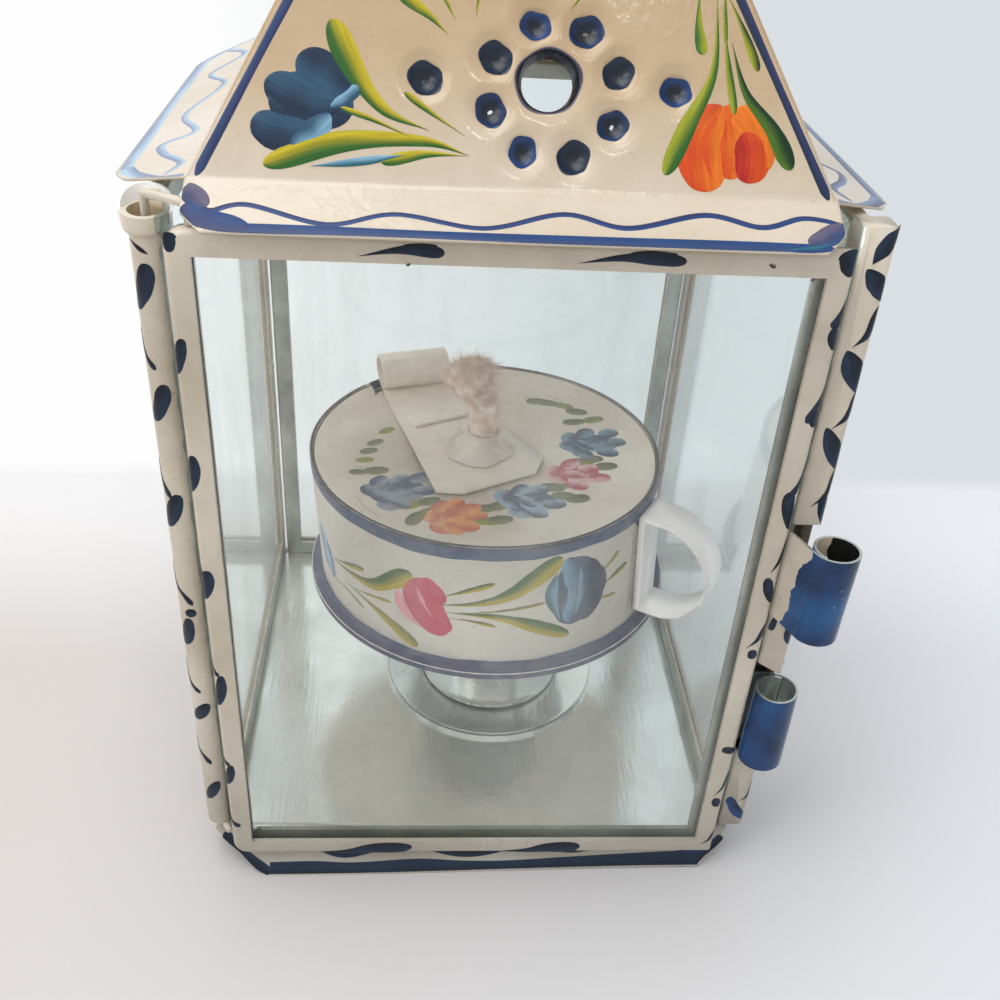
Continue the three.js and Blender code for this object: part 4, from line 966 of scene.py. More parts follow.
def frame_side(width, height, rounds, side, back):
    """One side of a frame, drawn flat: X across, Z up, Y through. A point `deep` inside the
    outline follows the rounded rectangle drawn in by `deep`, from mid corner to mid corner."""
    section = channel_section(back)
    deep, through = section[:, 0], section[:, 1]
    ends = []
    for which, start in ((side, 0), ((side + 1) % 4, -45)):
        across, head, bearing = CORNERS[which]
        r = np.maximum(rounds[which] - deep, 0.03)
        centre = across * (width / 2 - deep - r), (height - deep - r) if head else deep + r
        angle = np.radians(bearing + start + np.linspace(0, 45, 7))[:, None]
        ends.append(np.stack([centre[0] + r * np.cos(angle), centre[1] + r * np.sin(angle)], -1))
    share = np.linspace(0, 1, 24)[1:-1, None, None]
    path = np.concatenate([ends[0], ends[0][-1] + (ends[1][0] - ends[0][-1]) * share, ends[1]])
    return np.stack([path[..., 0], through + 0 * path[..., 0], path[..., 1]], -1)


def stand(grid, degrees, x, y, z):
    """A flat frame's points, turned about Z and moved to their place."""
    c, s = math.cos(math.radians(degrees)), math.sin(math.radians(degrees))
    along, through, up = np.moveaxis(grid, -1, 0)
    return np.stack([c * along - s * through, s * along + c * through, up], -1) + [x, y, z] + MIDDLE


def build_frames():
    """The four panels' sides, each from its foot round to the right, except the front stiles of
    the side panels, which are posts. A row is the panel, its width and height, and how far it is
    turned and where its foot stands."""
    panels = [
        ("door", 129.6, 173.4, (0, 0, -65.6, 8.0), ("right_stile", "left_stile")),
        ("back", 129.6, 174.3, (180, 0, 65.6, 10.8), ("left_stile", "right_stile")),
        ("left", 126.0, 174.3, (-90, -68.0, 5.0, 10.8), (None, "rear_stile")),
        ("right", 126.0, 174.3, (90, 68.0, 5.0, 10.8), ("rear_stile", None)),
    ]
    for panel, width, height, spot, (right, left) in panels:
        for side, name in enumerate(("bottom_rail", right, "top_rail", left)):
            if name is None:
                continue
            node = f"{panel}_{name}"
            rounds = ROUNDS["door" if panel == "door" else "body"]
            back = LONG_FLANGE if node in ("door_right_stile", "door_bottom_rail") else FLANGE
            grid = stand(frame_side(width, height, rounds, side, back), *spot)
            piece = link(node + "_channel", sheets(node, [grid], sharp=50), BODY_OF[node], "enamel", FRAME)
            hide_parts(node)


build_frames()


# The rest of the metal

def flared_tube(points):
    """The hinge tube is opened out by 0.3 of its radius over its top 4.5 mm, and its mouth cut
    down, a little more at the front."""
    away = points[:, :2] - TUBE_AXIS
    near = np.linalg.norm(away, axis=1) < TUBE_R + 0.15
    share = near * eased((points[:, 2] - 177.5) / 4.5)
    points[:, :2] += away * 0.3 * share[:, None]
    points[:, 2] -= share * (1.5 + 0.35 * (1 - away[:, 1] / TUBE_R))
    return points


def bent_tray(points):
    """The tray with its front flap's foot pulled in and up towards the right."""
    flap = points[:, 1] < TRAY_FRONT + MIDDLE[1] + 0.4
    return pulled(points, flap * flap_pull(points[:, 0] - MIDDLE[0], points[:, 2]))


def inside_tube(middles, normals):
    """Faces that look in to the hinge tube's axis, and its mouth."""
    away = middles[:, :2] - TUBE_AXIS
    near = np.linalg.norm(away, axis=1) < TUBE_R * 1.4
    inwards = (away * normals[:, :2]).sum(1) < -0.3
    mouth = (normals[:, 2] > 0.8) & (middles[:, 2] > 183)
    return near & (inwards | mouth)


def swept_sheet(outer, inner, turn):
    """A closed sheet from its outer and inner faces: rows run along its way and columns down
    it. turn is -1 where the way runs clockwise."""
    loop = np.concatenate([outer, inner[:, ::-1], outer[:, :1]], 1)
    ends = np.stack([outer[0], inner[0]], 1), np.stack([inner[-1], outer[-1]], 1)
    return [grid[:, ::turn] for grid in (loop, *ends)]


def rolled_strap(node, root, middle, turn, radius, foot, inside):
    """A strap that leaves its root, meets a circle at a tangent and is rolled up on itself by
    hand: a little oval, wider at one end, its edges not quite level. Its thin edges are tin."""
    reach = math.hypot(root[0] - middle[0], root[1] - middle[1])
    start = math.atan2(root[1] - middle[1], root[0] - middle[0]) + turn * math.acos(radius / reach)
    swept = np.linspace(0, 6.7, 110)
    angle = start + turn * swept
    r = radius - 0.85 * np.minimum(swept / (2 * np.pi), 1.05) + 0.09 * np.sin(2 * angle + 1)
    roll = np.stack([middle[0] + r * np.cos(angle), middle[1] + r * np.sin(angle)], 1)
    way = np.vstack([np.linspace(root, roll[0], 9)[:-1], roll])
    slope = np.gradient(way, axis=0)
    slope /= np.linalg.norm(slope, axis=1, keepdims=True)
    out = turn * np.stack([slope[:, 1], -slope[:, 0]], 1)
    down = np.linspace(1, 0, 14)[None, :, None]
    share = np.clip(np.linspace(0, 1, len(way)) * 5 - 1, 0, 1)[:, None, None]
    flare = (way - middle)[:, None] * (0.035 * np.sin(3.2 * down + foot) * share)
    level = 0.16 * np.sin(np.linspace(0, 9, len(way)))[:, None, None] * (down > 0.5)
    high = foot + LATCH_LONG * down + level
    across = STRAP / 2 * out[:, None]
    faces = [np.concatenate([way[:, None] + flare + side * across + MIDDLE[:2], high], -1)
             for side in (1, -1)]
    mesh = sheets(node, swept_sheet(*faces, turn), sharp=50)
    kinds = np.array([0] * 13 + [1] + [2] * 13 + [1])[::turn]
    picked = np.ones(len(mesh.polygons), np.int32)
    picked[:kinds.size * (len(way) - 1)] = np.tile(kinds, len(way) - 1)
    piece = link(node + "_roll", mesh, BODY_OF[node], "blue_enamel", LATCH, TIN, inside)
    mesh.polygons.foreach_set("material_index", picked)
    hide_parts(node)


def tube_collar():
    """The hinge tube's sheet runs up behind its mouth, by up to 3.6 mm at the back, to the eave."""
    turn = np.linspace(-0.2, np.pi + 0.2, 41)[:, None, None]
    down = np.linspace(1, 0, 5)[None, :, None]
    top = 182.6 + 3.6 * np.clip(np.sin(turn), 0, 1) ** 0.6
    high = 180.4 + (top - 180.4) * down
    faces = []
    for radius in (4.75, 4.3):
        r = radius + 0.25 * down ** 2 + 0 * turn
        face = np.concatenate([TUBE_X + r * np.cos(turn), TUBE_Y + r * np.sin(turn), high], -1)
        faces.append(face + MIDDLE)
    mesh = sheets("hinge_tube_collar", swept_sheet(*faces, 1), sharp=50)
    # the collar takes the handle's near-white enamel, partly a painted light
    link("hinge_tube_collar", mesh, "lantern", "enamel", HANDLE_PAINTED_LIGHT_CREAM)


BLOCK_FOOT = 69.6                            # the post's block stands between the two notches
NOTCH_BACK, NOTCH_FOOT, NOTCH_TOP = -59.6, 43, 118


def notched_post(points):
    """The latch post's block between the latches, cut off slanting at its foot: raised by 1.6 mm
    at its outer edge, and by 4.6 mm more at its inner one."""
    foot = (np.abs(points[:, 2] - BLOCK_FOOT) < 0.3) & (points[:, 1] < -58.6)
    slant = np.clip((POST_EDGE + MIDDLE[0] - points[:, 0]) / 7.4, 0, 1)
    points[:, 2] += foot * (1.6 + 4.6 * slant)
    return points


def notch_floor(middles, normals):
    """Faces at the back of the notches behind the latches, which take the dark painted shade."""
    deep = (normals[:, 1] < -0.8) & (middles[:, 1] > NOTCH_BACK)
    return deep & (middles[:, 2] > NOTCH_FOOT) & (middles[:, 2] < NOTCH_TOP)


PLATE_TOP, CONE_TOP = 91.2, 97.6             # what the solder cone rises from, and to


def lumpy_cone(points):
    """The solder round the wick tube: a cone that runs out over the plate by 0.9 mm and lumps
    that vary round it, less and less up to its top, which stands 1.4 mm to the right."""
    middle = burner_axis(points[:, 2]) + WICK_X + MIDDLE[0]
    away = points[:, :2] - np.stack([middle, np.full(len(points), BURNER_Y + MIDDLE[1])], 1)
    r = np.linalg.norm(away, axis=1)
    angle = np.arctan2(away[:, 1], away[:, 0])
    low = np.clip((CONE_TOP - points[:, 2]) / 6.5, 0, 1) * (r > 4.6) * (points[:, 2] > PLATE_TOP)
    lump = 0.5 * np.sin(3 * angle + 1) + 0.4 * np.sin(5 * angle - points[:, 2]) + 0.3 * np.sin(9 * angle)
    points[:, :2] += away / np.maximum(r, 1)[:, None] * (low * (0.9 + lump))[:, None]
    points[:, 0] += 1.4 * eased((points[:, 2] - 91.5) / 6)
    return points


def across_cuts(low, high, step, axis):
    """Planes across an axis, to give a bare CAD surface points to bend at."""
    normal = tuple(1.0 if i == axis else 0.0 for i in range(3))
    return [(tuple(v * n * MM for n in normal), normal) for v in np.arange(low, high, step)]


def dress_metal():
    """Gives the glass its material, and every metal node that no piece has replaced a smooth copy
    with its finish. A special one has its own paints, and is bent or cut as well."""
    finish = {"enamel": CREAM, "burner_enamel": BURNER_CREAM, "blue_enamel": BLUE, "bare_tin": TIN,
              "wire_steel": DULL_TIN}
    special = {
        "base_tray": dict(paints=(TRAY,), shape=bent_tray,
                          cuts=across_cuts(-66, 72, 4, 0) + across_cuts(1.5, 10, 2, 2)),
        "left_hinge_post": dict(paints=(FRAME, DIRTY), shape=flared_tube, second=inside_tube,
                                cuts=across_cuts(177, 184, 0.7, 2)),
        # the notches' back faces take the dark painted shade
        "right_latch_post": dict(paints=(FRAME, NOTCH_PAINTED_SHADE), shape=notched_post, second=notch_floor),
        # the handle's near-white enamel is partly a painted light
        "burner_handle": dict(paints=(HANDLE_PAINTED_LIGHT_CREAM,), angle=60),
        "wick_tube": dict(paints=(SOLDER,), shape=lumpy_cone, cuts=across_cuts(91.9, 98, 0.6, 2)),
        "burner_drum": dict(paints=(DRUM_CREAM,)),
        "drip_dish": dict(paints=(HAZED_TIN,)),
        "hinge_wire": dict(paints=(CREAM,)),
    }
    made = ("wick", "body_latch_tube", "door_latch_tube")
    for node, slot in SLOT_OF.items():
        if node.startswith("roof_") and node != "roof_cap" or node in made:
            continue
        if slot == "clear_glass":
            glass = DOOR_GLASS if node == "door_glass" else GLASS
            frame["nodes"][node].material_slots[0].material = glass
        elif node in special or f"{node}_channel" not in bpy.data.objects:
            chosen = dict(special.get(node, {}))
            paints = chosen.pop("paints", (finish[slot],))
            smooth_copy(node, BODY_OF[node], slot, *paints, **chosen)


dress_metal()
rolled_strap("body_latch_tube", (66.05, -60.6), (71.4, -67.0), -1, 5.45, 45.3, TIN)
rolled_strap("door_latch_tube", (65.4, -66.4), (74.0, -73.0), 1, 5.3, 92.6, LATCH_INSIDE)
tube_collar()


# Painting on the frames, posts and tray. A row is a stroke's width and the points of its way.

def alike(place, kind, marks, wider=1.0, left="navy", right="ink", lift=0.0):
    """Strokes of one kind and pair of paints from rows of a width and points."""
    return [stroke(place, kind, wider * width, left, right, *points, lift=lift) for width, *points in marks]


def hinge_tube_marks():
    """Drops of navy down the tube, each with a thin stem running up to the next."""
    place = round_place(TUBE_X, TUBE_Y, TUBE_R)
    eggs = [
        (3.8, (-0.2, 173.3), (-1.2, 169.2), (-3.8, 163.5)), (3.6, (0.4, 147.8), (-1.1, 143.1), (-3.4, 139.0)),
        (3.8, (0.3, 121.3), (-1.6, 116.5), (-4.0, 112.3)), (2.4, (0.7, 89.4), (-0.4, 88.6), (-1.6, 88.0)),
        (3.6, (-0.9, 86.9), (-2.0, 82.0), (-3.4, 78.5)), (3.2, (0.9, 59.9), (-1.0, 56.9), (-3.4, 54.3)),
        (3.0, (1.0, 32.2), (-0.6, 28.9), (-2.6, 25.4)),
    ]
    stems = [
        (1.3, (-1.0, 151.0), (-3.6, 154.0), (-5.0, 159.0)),
        (1.4, (-1.5, 120.2), (-4.2, 125.0), (-5.0, 129.0)),
        (1.3, (0.3, 91.0), (-1.3, 93.4), (-4.0, 96.5), (-5.0, 101.5)),
        (1.3, (-0.5, 63.5), (-4.0, 67.0), (-5.2, 73.0)),
        (1.3, (-0.1, 38.8), (-1.9, 41.2), (-4.4, 43.7), (-5.0, 46.5)),
    ]
    back = [(3.4, (-9.5, z + 9), (-10.5, z + 5), (-12.0, z)) for z in (30, 57, 85, 113, 140, 166)]
    tip = (0.4, 175.2), (-1.4, 176.3), (-3.4, 177.6)
    return (alike(place, "egg", eggs + back, lift=0.06) + alike(place, "stem", stems, 1.3, lift=0.06)
            + [stroke(place, "leaf", 1.0, "ink", "ink", *tip, lift=0.08)])


def door_marks():
    """Drops and stems down both stiles of the door, and long drops on its rails."""
    face = wrapped_place(FRAME_FRONT, FRAME_X - FOLD, FOLD)
    left_eggs = [
        (2.8, (-63.1, 181.0), (-63.3, 179.3), (-63.6, 177.2)),
        (3.2, (-62.9, 159.8), (-64.1, 155.9), (-65.2, 152.0)),
        (3.4, (-63.6, 133.5), (-64.0, 128.8), (-65.1, 124.4)),
        (3.8, (-63.3, 103.8), (-63.8, 99.9), (-65.0, 95.6)),
        (3.2, (-62.9, 72.6), (-63.5, 67.4), (-64.8, 62.8)),
        (2.8, (-63.0, 42.2), (-63.7, 38.3), (-65.0, 35.0)),
    ]
    left_stems = [
        (1.4, (-64.6, 102.0), (-65.4, 104.8), (-65.6, 109.7)),
        (1.5, (-63.6, 72.3), (-64.9, 74.7), (-65.6, 78.7)),
        (1.5, (-63.4, 42.0), (-65.1, 44.3), (-65.6, 47.9)),
        (1.8, (-62.4, 19.0), (-64.7, 21.3), (-65.8, 25.8)),
    ]
    right_eggs = [
        (4.6, (62.2, 182.0), (63.4, 179.8), (64.6, 176.9)),
        (2.8, (63.5, 166.2), (63.8, 164.1), (64.6, 161.3)),
        (2.4, (64.1, 147.7), (64.0, 145.5), (64.5, 143.6)),
        (3.4, (62.6, 127.5), (62.9, 123.8), (64.7, 117.5)),
        (2.8, (62.2, 104.0), (63.1, 100.5), (64.9, 96.6)), (2.8, (62.6, 82.2), (63.0, 80.8), (63.4, 79.4)),
        (2.8, (61.2, 48.6), (63.0, 48.0), (65.2, 47.6)), (2.8, (62.6, 30.0), (63.0, 28.3), (63.4, 26.6)),
    ]
    right_stems = [
        (2.8, (63.3, 165.8), (64.4, 169.1), (65.4, 173.4)),
        (2.4, (62.4, 144.6), (64.3, 149.5), (65.2, 153.6)),
        (1.8, (63.0, 126.6), (64.4, 130.3), (65.4, 137.1)),
    ]
    right_drops = [
        (3.4, (62.4, 105.0), (64.4, 109.6), (65.8, 116.0)), (2.8, (60.9, 82.6), (63.4, 85.4), (65.2, 90.6)),
        (1.9, (61.7, 30.6), (63.7, 33.9), (65.0, 40.4)), (2.0, (61.2, 11.2), (63.4, 13.2), (65.0, 17.0)),
    ]
    long_drops = [
        ("drop", 4.0, "ink", "navy", (-29.6, 177.6), (-21.0, 179.2), (-13.3, 178.8)),
        ("drop", 4.0, "ink", "navy", (11.2, 177.7), (21.0, 179.2), (32.1, 178.8)),
        ("drop", 5.8, "ink", "navy", (-42.5, 8.7), (-34.8, 9.0), (-27.6, 10.4), (-17.4, 10.6)),
        ("drop", 5.8, "ink", "navy", (5.5, 8.7), (13.6, 9.2), (19.6, 10.4), (28.2, 10.6)),
        ("egg", 1.0, "grime", "ink", (47.9, 178.9), (48.6, 178.6), (49.3, 178.3)),
        ("egg", 0.7, "grime", "ink", (-20.4, 176.2), (-20.0, 176.4), (-19.6, 176.6)),
    ]
    return (alike(face, "egg", left_eggs + right_eggs, 1.1)
            + alike(face, "stem", left_stems + right_stems, 1.25)
            + alike(face, "drop", right_drops, left="ink", right="navy")
            + [stroke(face, *mark) for mark in long_drops])


def latch_post_marks():
    """Seed shapes and stems up the latch post, and a small blue flower at its foot."""
    face = wrapped_place(POST_FRONT, POST_EDGE - POST_ROUND, POST_ROUND)
    seeds = [
        (4.4, (69.0, 178.4), (71.0, 182.2), (73.8, 186.0)),
        (4.8, (73.4, 170.4), (71.4, 173.8), (68.2, 177.4)),
        (5.6, (73.6, 149.4), (71.0, 154.9), (68.4, 160.0)),
        (4.8, (73.6, 130.6), (71.0, 136.4), (68.2, 142.0)),
        (4.0, (73.6, 115.8), (72.6, 120.8), (71.4, 125.4)), (3.4, (73.8, 80.4), (72.6, 83.1), (70.9, 86.2)),
    ]
    stems = [
        (4.2, (69.2, 160.6), (72.0, 163.9), (73.6, 169.6)),
        (3.8, (69.3, 141.6), (72.4, 145.2), (73.8, 150.4)),
        (3.8, (69.2, 121.8), (72.4, 125.5), (73.7, 131.4)), (1.8, (73.0, 74.2), (74.2, 76.2), (74.1, 79.4)),
        (2.8, (70.4, 25.6), (72.8, 27.6), (74.0, 32.6)),
    ]
    arch = (67.3, 85.8), (67.9, 90.0), (69.6, 91.0), (70.9, 89.2), (71.2, 86.0)
    return (alike(face, "seed", seeds, lift=0.06)
            + alike(face, "drop", stems, left="ink", right="navy", lift=0.06)
            + [stroke(face, "line", 1.8, "navy", "ink", *arch),
               stroke(face, "egg", 3.8, "navy", "blue", (67.4, 27.0), (70.2, 21.6), (74.0, 17.6)),
               stroke(face, "stem", 1.6, "blue", "navy", (73.4, 18.0), (74.8, 20.2), (75.0, 22.8))])


def plain_stile_marks(place, a, foot, top, turn):
    """A hidden stile: the same alternation of drops and stems, every 28 mm down it."""
    marks = []
    for k, z in enumerate(np.arange(foot + 14, top - 6, 28)):
        lean = turn * (0.9 if k % 2 else -0.6)
        egg = (a - lean, z + 4), (a, z), (a + lean * 1.6, z - 5)
        stem = (a - turn * 0.6, z + 8), (a + turn, z + 11), (a + turn * 1.8, z + 15)
        marks.append(stroke(place, "egg", 3.4, "navy", "ink", *egg))
        marks.append(stroke(place, "stem", 1.4, "navy", "ink", *stem))
    return marks


def side_and_back_marks():
    """The panels that the photograph doesn't show, painted as the door is."""
    marks = []
    for turns, away, span in ((1, 70.4, 126.0), (-1, 70.4, 126.0), (2, 68.0, 129.6)):
        place = flat_place((0, -away, 0), (1, 0, 0), (0, 0, 1), turns)
        middle = {1: 5.0, -1: -5.0, 2: 0.0}[turns]
        for side in (-1, 1):
            # the side panels' front stiles are the hinge tube's and the latch post's own
            marks += plain_stile_marks(place, middle + side * (span / 2 - 2.4), 10, 184, side)
        for start in (-34, 8):
            ways = (middle + start, 182.0), (middle + start + 10, 183.2), (middle + start + 19, 182.9)
            marks.append(stroke(place, "drop", 3.4, "ink", "navy", *ways))
            low = (middle + start, 12.2), (middle + start + 8, 13.4), (middle + start + 20, 14.0)
            marks.append(stroke(place, "drop", 3.0, "ink", "navy", *low))
    return marks


def flap_marks():
    """The tray's front flap: a navy band with a wavy top along its foot, run up its cut ends,
    and waves under the crease."""
    place = flap_place()
    mark = partial(stroke, place)
    a = np.linspace(-55.9, 62.6, 160)
    tops = curve([(-55.6, -9.6), (-44.2, -9.4), (-33.0, -9.9), (-15.8, -9.2), (-4.0, -10.0), (8.2, -10.3),
                  (23.6, -9.7), (41.0, -8.9), (61.6, -8.0)], 160)
    high = np.interp(a, tops[:, 0], tops[:, 1])
    low = np.full_like(a, -12.8)
    marks = [
        band(place, a, low, high),
        mark("line", 2.6, "navy", "ink", (-68.4, -1.6), (-63.4, -6.2), (-59.6, -9.6), (-55.6, -12.4),
             lift=0.02),
        mark("line", 2.6, "navy", "ink", (61.4, -12.0), (65.0, -8.0), (69.2, -3.4), lift=0.02),
        mark("egg", 4.6, "dusk", "navy", (56.6, -6.2), (61.0, -8.6), (65.4, -7.2), lift=0.03),
    ]
    waves = [((-43.5, -6.2), (-35.0, -7.5), (-23.0, -5.9)), ((-15.6, -6.0), (-1.2, -8.0), (13.2, -6.1)),
             ((17.4, -6.0), (27.3, -7.3), (39.1, -6.0)), ((-8.0, -5.6), (0.0, -6.0), (8.0, -5.6))]
    return marks + [mark("leaf", 2.6, "ink", "navy", *wave, lift=0.01) for wave in waves]


def other_flap_marks():
    """The tray's side and back flaps: a band along the foot."""
    marks, crease = [], FLAP_TOP - SHEET
    for turns, away, out, span in ((2, 68.0, 4.0, 58.0), (1, 70.4, 1.2, 51.0), (-1, 70.4, 1.2, 51.0)):
        slant = math.hypot(out, FLAP_DROP)
        up = (0, out / slant, FLAP_DROP / slant)
        lifted = (SHEET / 2 + 0.03) * np.array([0, -up[2], up[1]])
        place = flat_place((0, -away + lifted[1], crease + lifted[2]), (1, 0, 0), up, turns)
        middle = {1: 4.0, -1: -4.0, 2: 0.0}[turns]
        a = np.linspace(middle - span, middle + span, 90)
        high = -slant + 2.8 + 0.5 * np.sin(a / 5.0)
        marks.append(band(place, a, np.full_like(a, -1.045 * slant), high))
    return marks


painting("hinge_tube_painting", "lantern", "blue_enamel", hinge_tube_marks())
painting("door_painting", "door", "blue_enamel", door_marks())
painting("latch_post_painting", "lantern", "blue_enamel", latch_post_marks())
painting("side_painting", "lantern", "blue_enamel", side_and_back_marks())
painting("tray_painting", "lantern", "blue_enamel", flap_marks() + other_flap_marks())


# Burner: its bands, the garland round its lid and the spray round its drum

def ring_coat(profile, hue, edge_hue, ripple):
    """A coat of paint round the burner along a profile of (radius, height) points, the first of
    them a brushed, wandering edge."""
    angle = np.linspace(0, 2 * math.pi, 361)
    wander = ripple * (np.sin(4 * angle) + 0.7 * np.sin(11 * angle + 1) + 0.4 * np.sin(29 * angle))
    wander[-1] = wander[0]
    radius, height = np.array(profile).T
    share = (np.arange(len(radius)) == 0) + 0.0
    z = height + wander[:, None] * share
    r = radius + 0 * z
    around = angle[:, None] + 0 * z
    points = np.stack([burner_axis(z) + r * np.cos(around), BURNER_Y + r * np.sin(around), z], -1) + MIDDLE
    colour = mixed(paint_of(edge_hue), paint_of(hue), eased(np.arange(len(radius)) / 2)[:, None])
    uv = np.stack([around * DRUM_R, z + r], -1)
    way = -1 if height[-1] > height[0] else 1
    return points[:, ::way], np.broadcast_to(colour[::way], points.shape), uv[:, ::way]


def drum_marks():
    """The coats round the drum's rim and foot, and a spray of three flowers round its front."""
    mark = partial(stroke, round_place(BURNER_X, BURNER_Y, DRUM_R, LEAN))
    return [
        ring_coat([(49.36, 89.5), (49.38, 90.5), (49.38, 92.0), (49.38, 93.45)], "slate", "slate", 0.22),
        ring_coat([(49.36, 56.3), (49.4, 55.4), (49.9, 54.9), (51.3, 54.72), (52.2, 54.68), (52.56, 54.4),
                   (52.56, 53.2), (52.5, 52.8)], "denim", "slate", 0.25),
        mark("egg", 6.0, "slate", "navy", (44.0, 91.6), (47.5, 89.8), (51.0, 89.0), lift=0.05),
        # pale blue flower and leaves on the left
        mark("petal", 7.0, "ice", "steel", (-61.5, 77.0), (-58.5, 71.0), (-56.5, 64.0)),
        mark("petal", 5.0, "steel", "ice", (-57.0, 74.0), (-55.0, 69.0), (-54.0, 63.0), lift=0.02),
        mark("drop", 2.6, "green", "gold", (-51.7, 71.1), (-44.5, 73.6), (-37.3, 75.9)),
        mark("drop", 7.2, "green", "gold", (-51.6, 71.0), (-42.1, 71.6), (-34.4, 72.6), (-27.5, 77.2),
             (-21.5, 81.6), lift=0.02),
        mark("drop", 1.4, "olive", "gold", (-45.6, 65.9), (-36.9, 68.0), (-28.3, 69.6)),
        mark("drop", 1.0, "moss", "olive", (-53.2, 63.8), (-45.9, 64.3), (-38.2, 62.0)),
        mark("drop", 5.0, "olive", "gold", (-46.0, 67.4), (-35.1, 64.9), (-28.6, 62.0), (-21.0, 57.4),
             lift=0.01),
        # pink flower
        mark("petal", 10.2, "pink", "pink", (-19.4, 81.2), (-18.2, 73.0), (-13.6, 63.4), lift=0.01),
        mark("petal", 7.6, "pink", "pink", (-21.6, 80.0), (-20.4, 72.0), (-15.0, 63.6), lift=0.03),
        mark("petal", 5.4, "pink", "pink", (-18.4, 81.4), (-16.0, 78.0), (-13.0, 74.4), lift=0.05),
        mark("petal", 5.4, "pink", "pink", (-18.0, 73.4), (-14.8, 68.8), (-11.8, 65.2), lift=0.05),
        mark("leaf", 3.4, "rose", "rose", (-26.2, 75.4), (-24.8, 69.4), (-20.0, 64.2), lift=0.06),
        mark("leaf", 2.2, "rose", "pink", (-20.6, 78.6), (-19.4, 73.8), (-15.8, 68.0), lift=0.07),
        # leaves in the middle
        mark("drop", 2.4, "green", "gold", (-13.5, 76.5), (-8.0, 79.0), (0.4, 82.4)),
        mark("drop", 7.2, "green", "gold", (-15.0, 73.6), (-4.5, 75.6), (3.2, 78.2), (10.4, 83.0),
             (18.0, 88.6), lift=0.02),
        mark("drop", 1.4, "moss", "gold", (-8.9, 72.1), (1.3, 73.4), (13.6, 75.0)),
        mark("drop", 5.6, "green", "gold", (-12.4, 71.8), (-0.9, 71.6), (8.7, 68.6), (20.6, 62.4), lift=0.02),
        mark("drop", 1.6, "moss", "gold", (-12.7, 69.8), (-6.1, 69.7), (0.4, 68.3)),
        # blue flower
        mark("petal", 15.0, "mid", "mid", (21.8, 87.6), (23.0, 77.0), (21.0, 65.8), lift=0.01),
        mark("petal", 9.6, "mid", "sky", (19.6, 88.0), (22.6, 77.0), (20.4, 66.4), lift=0.02),
        mark("petal", 8.4, "navy", "mid", (26.4, 85.6), (28.2, 75.0), (24.6, 66.0), lift=0.04),
        mark("leaf", 3.6, "sky", "teal", (16.6, 84.0), (15.2, 76.0), (18.0, 67.6), lift=0.05),
        mark("leaf", 3.2, "mid", "sky", (23.6, 84.4), (24.4, 76.0), (22.4, 68.0), lift=0.07),
        mark("leaf", 2.6, "navy", "mid", (31.0, 82.0), (31.2, 75.0), (28.0, 68.4), lift=0.05),
        # small leaves on the right
        mark("drop", 2.4, "olive", "gold", (30.5, 79.0), (33.2, 81.0), (37.2, 83.6)),
        mark("drop", 2.6, "green", "gold", (31.0, 74.7), (35.3, 76.2), (41.2, 77.6)),
        mark("drop", 1.8, "olive", "gold", (29.7, 71.9), (32.4, 70.5), (36.6, 69.6)),
        # the wall's solder seam
        mark("line", 1.5, "bare", "cream", (43.6, 60.0), (43.9, 75.0), (44.2, 90.4)),
    ]


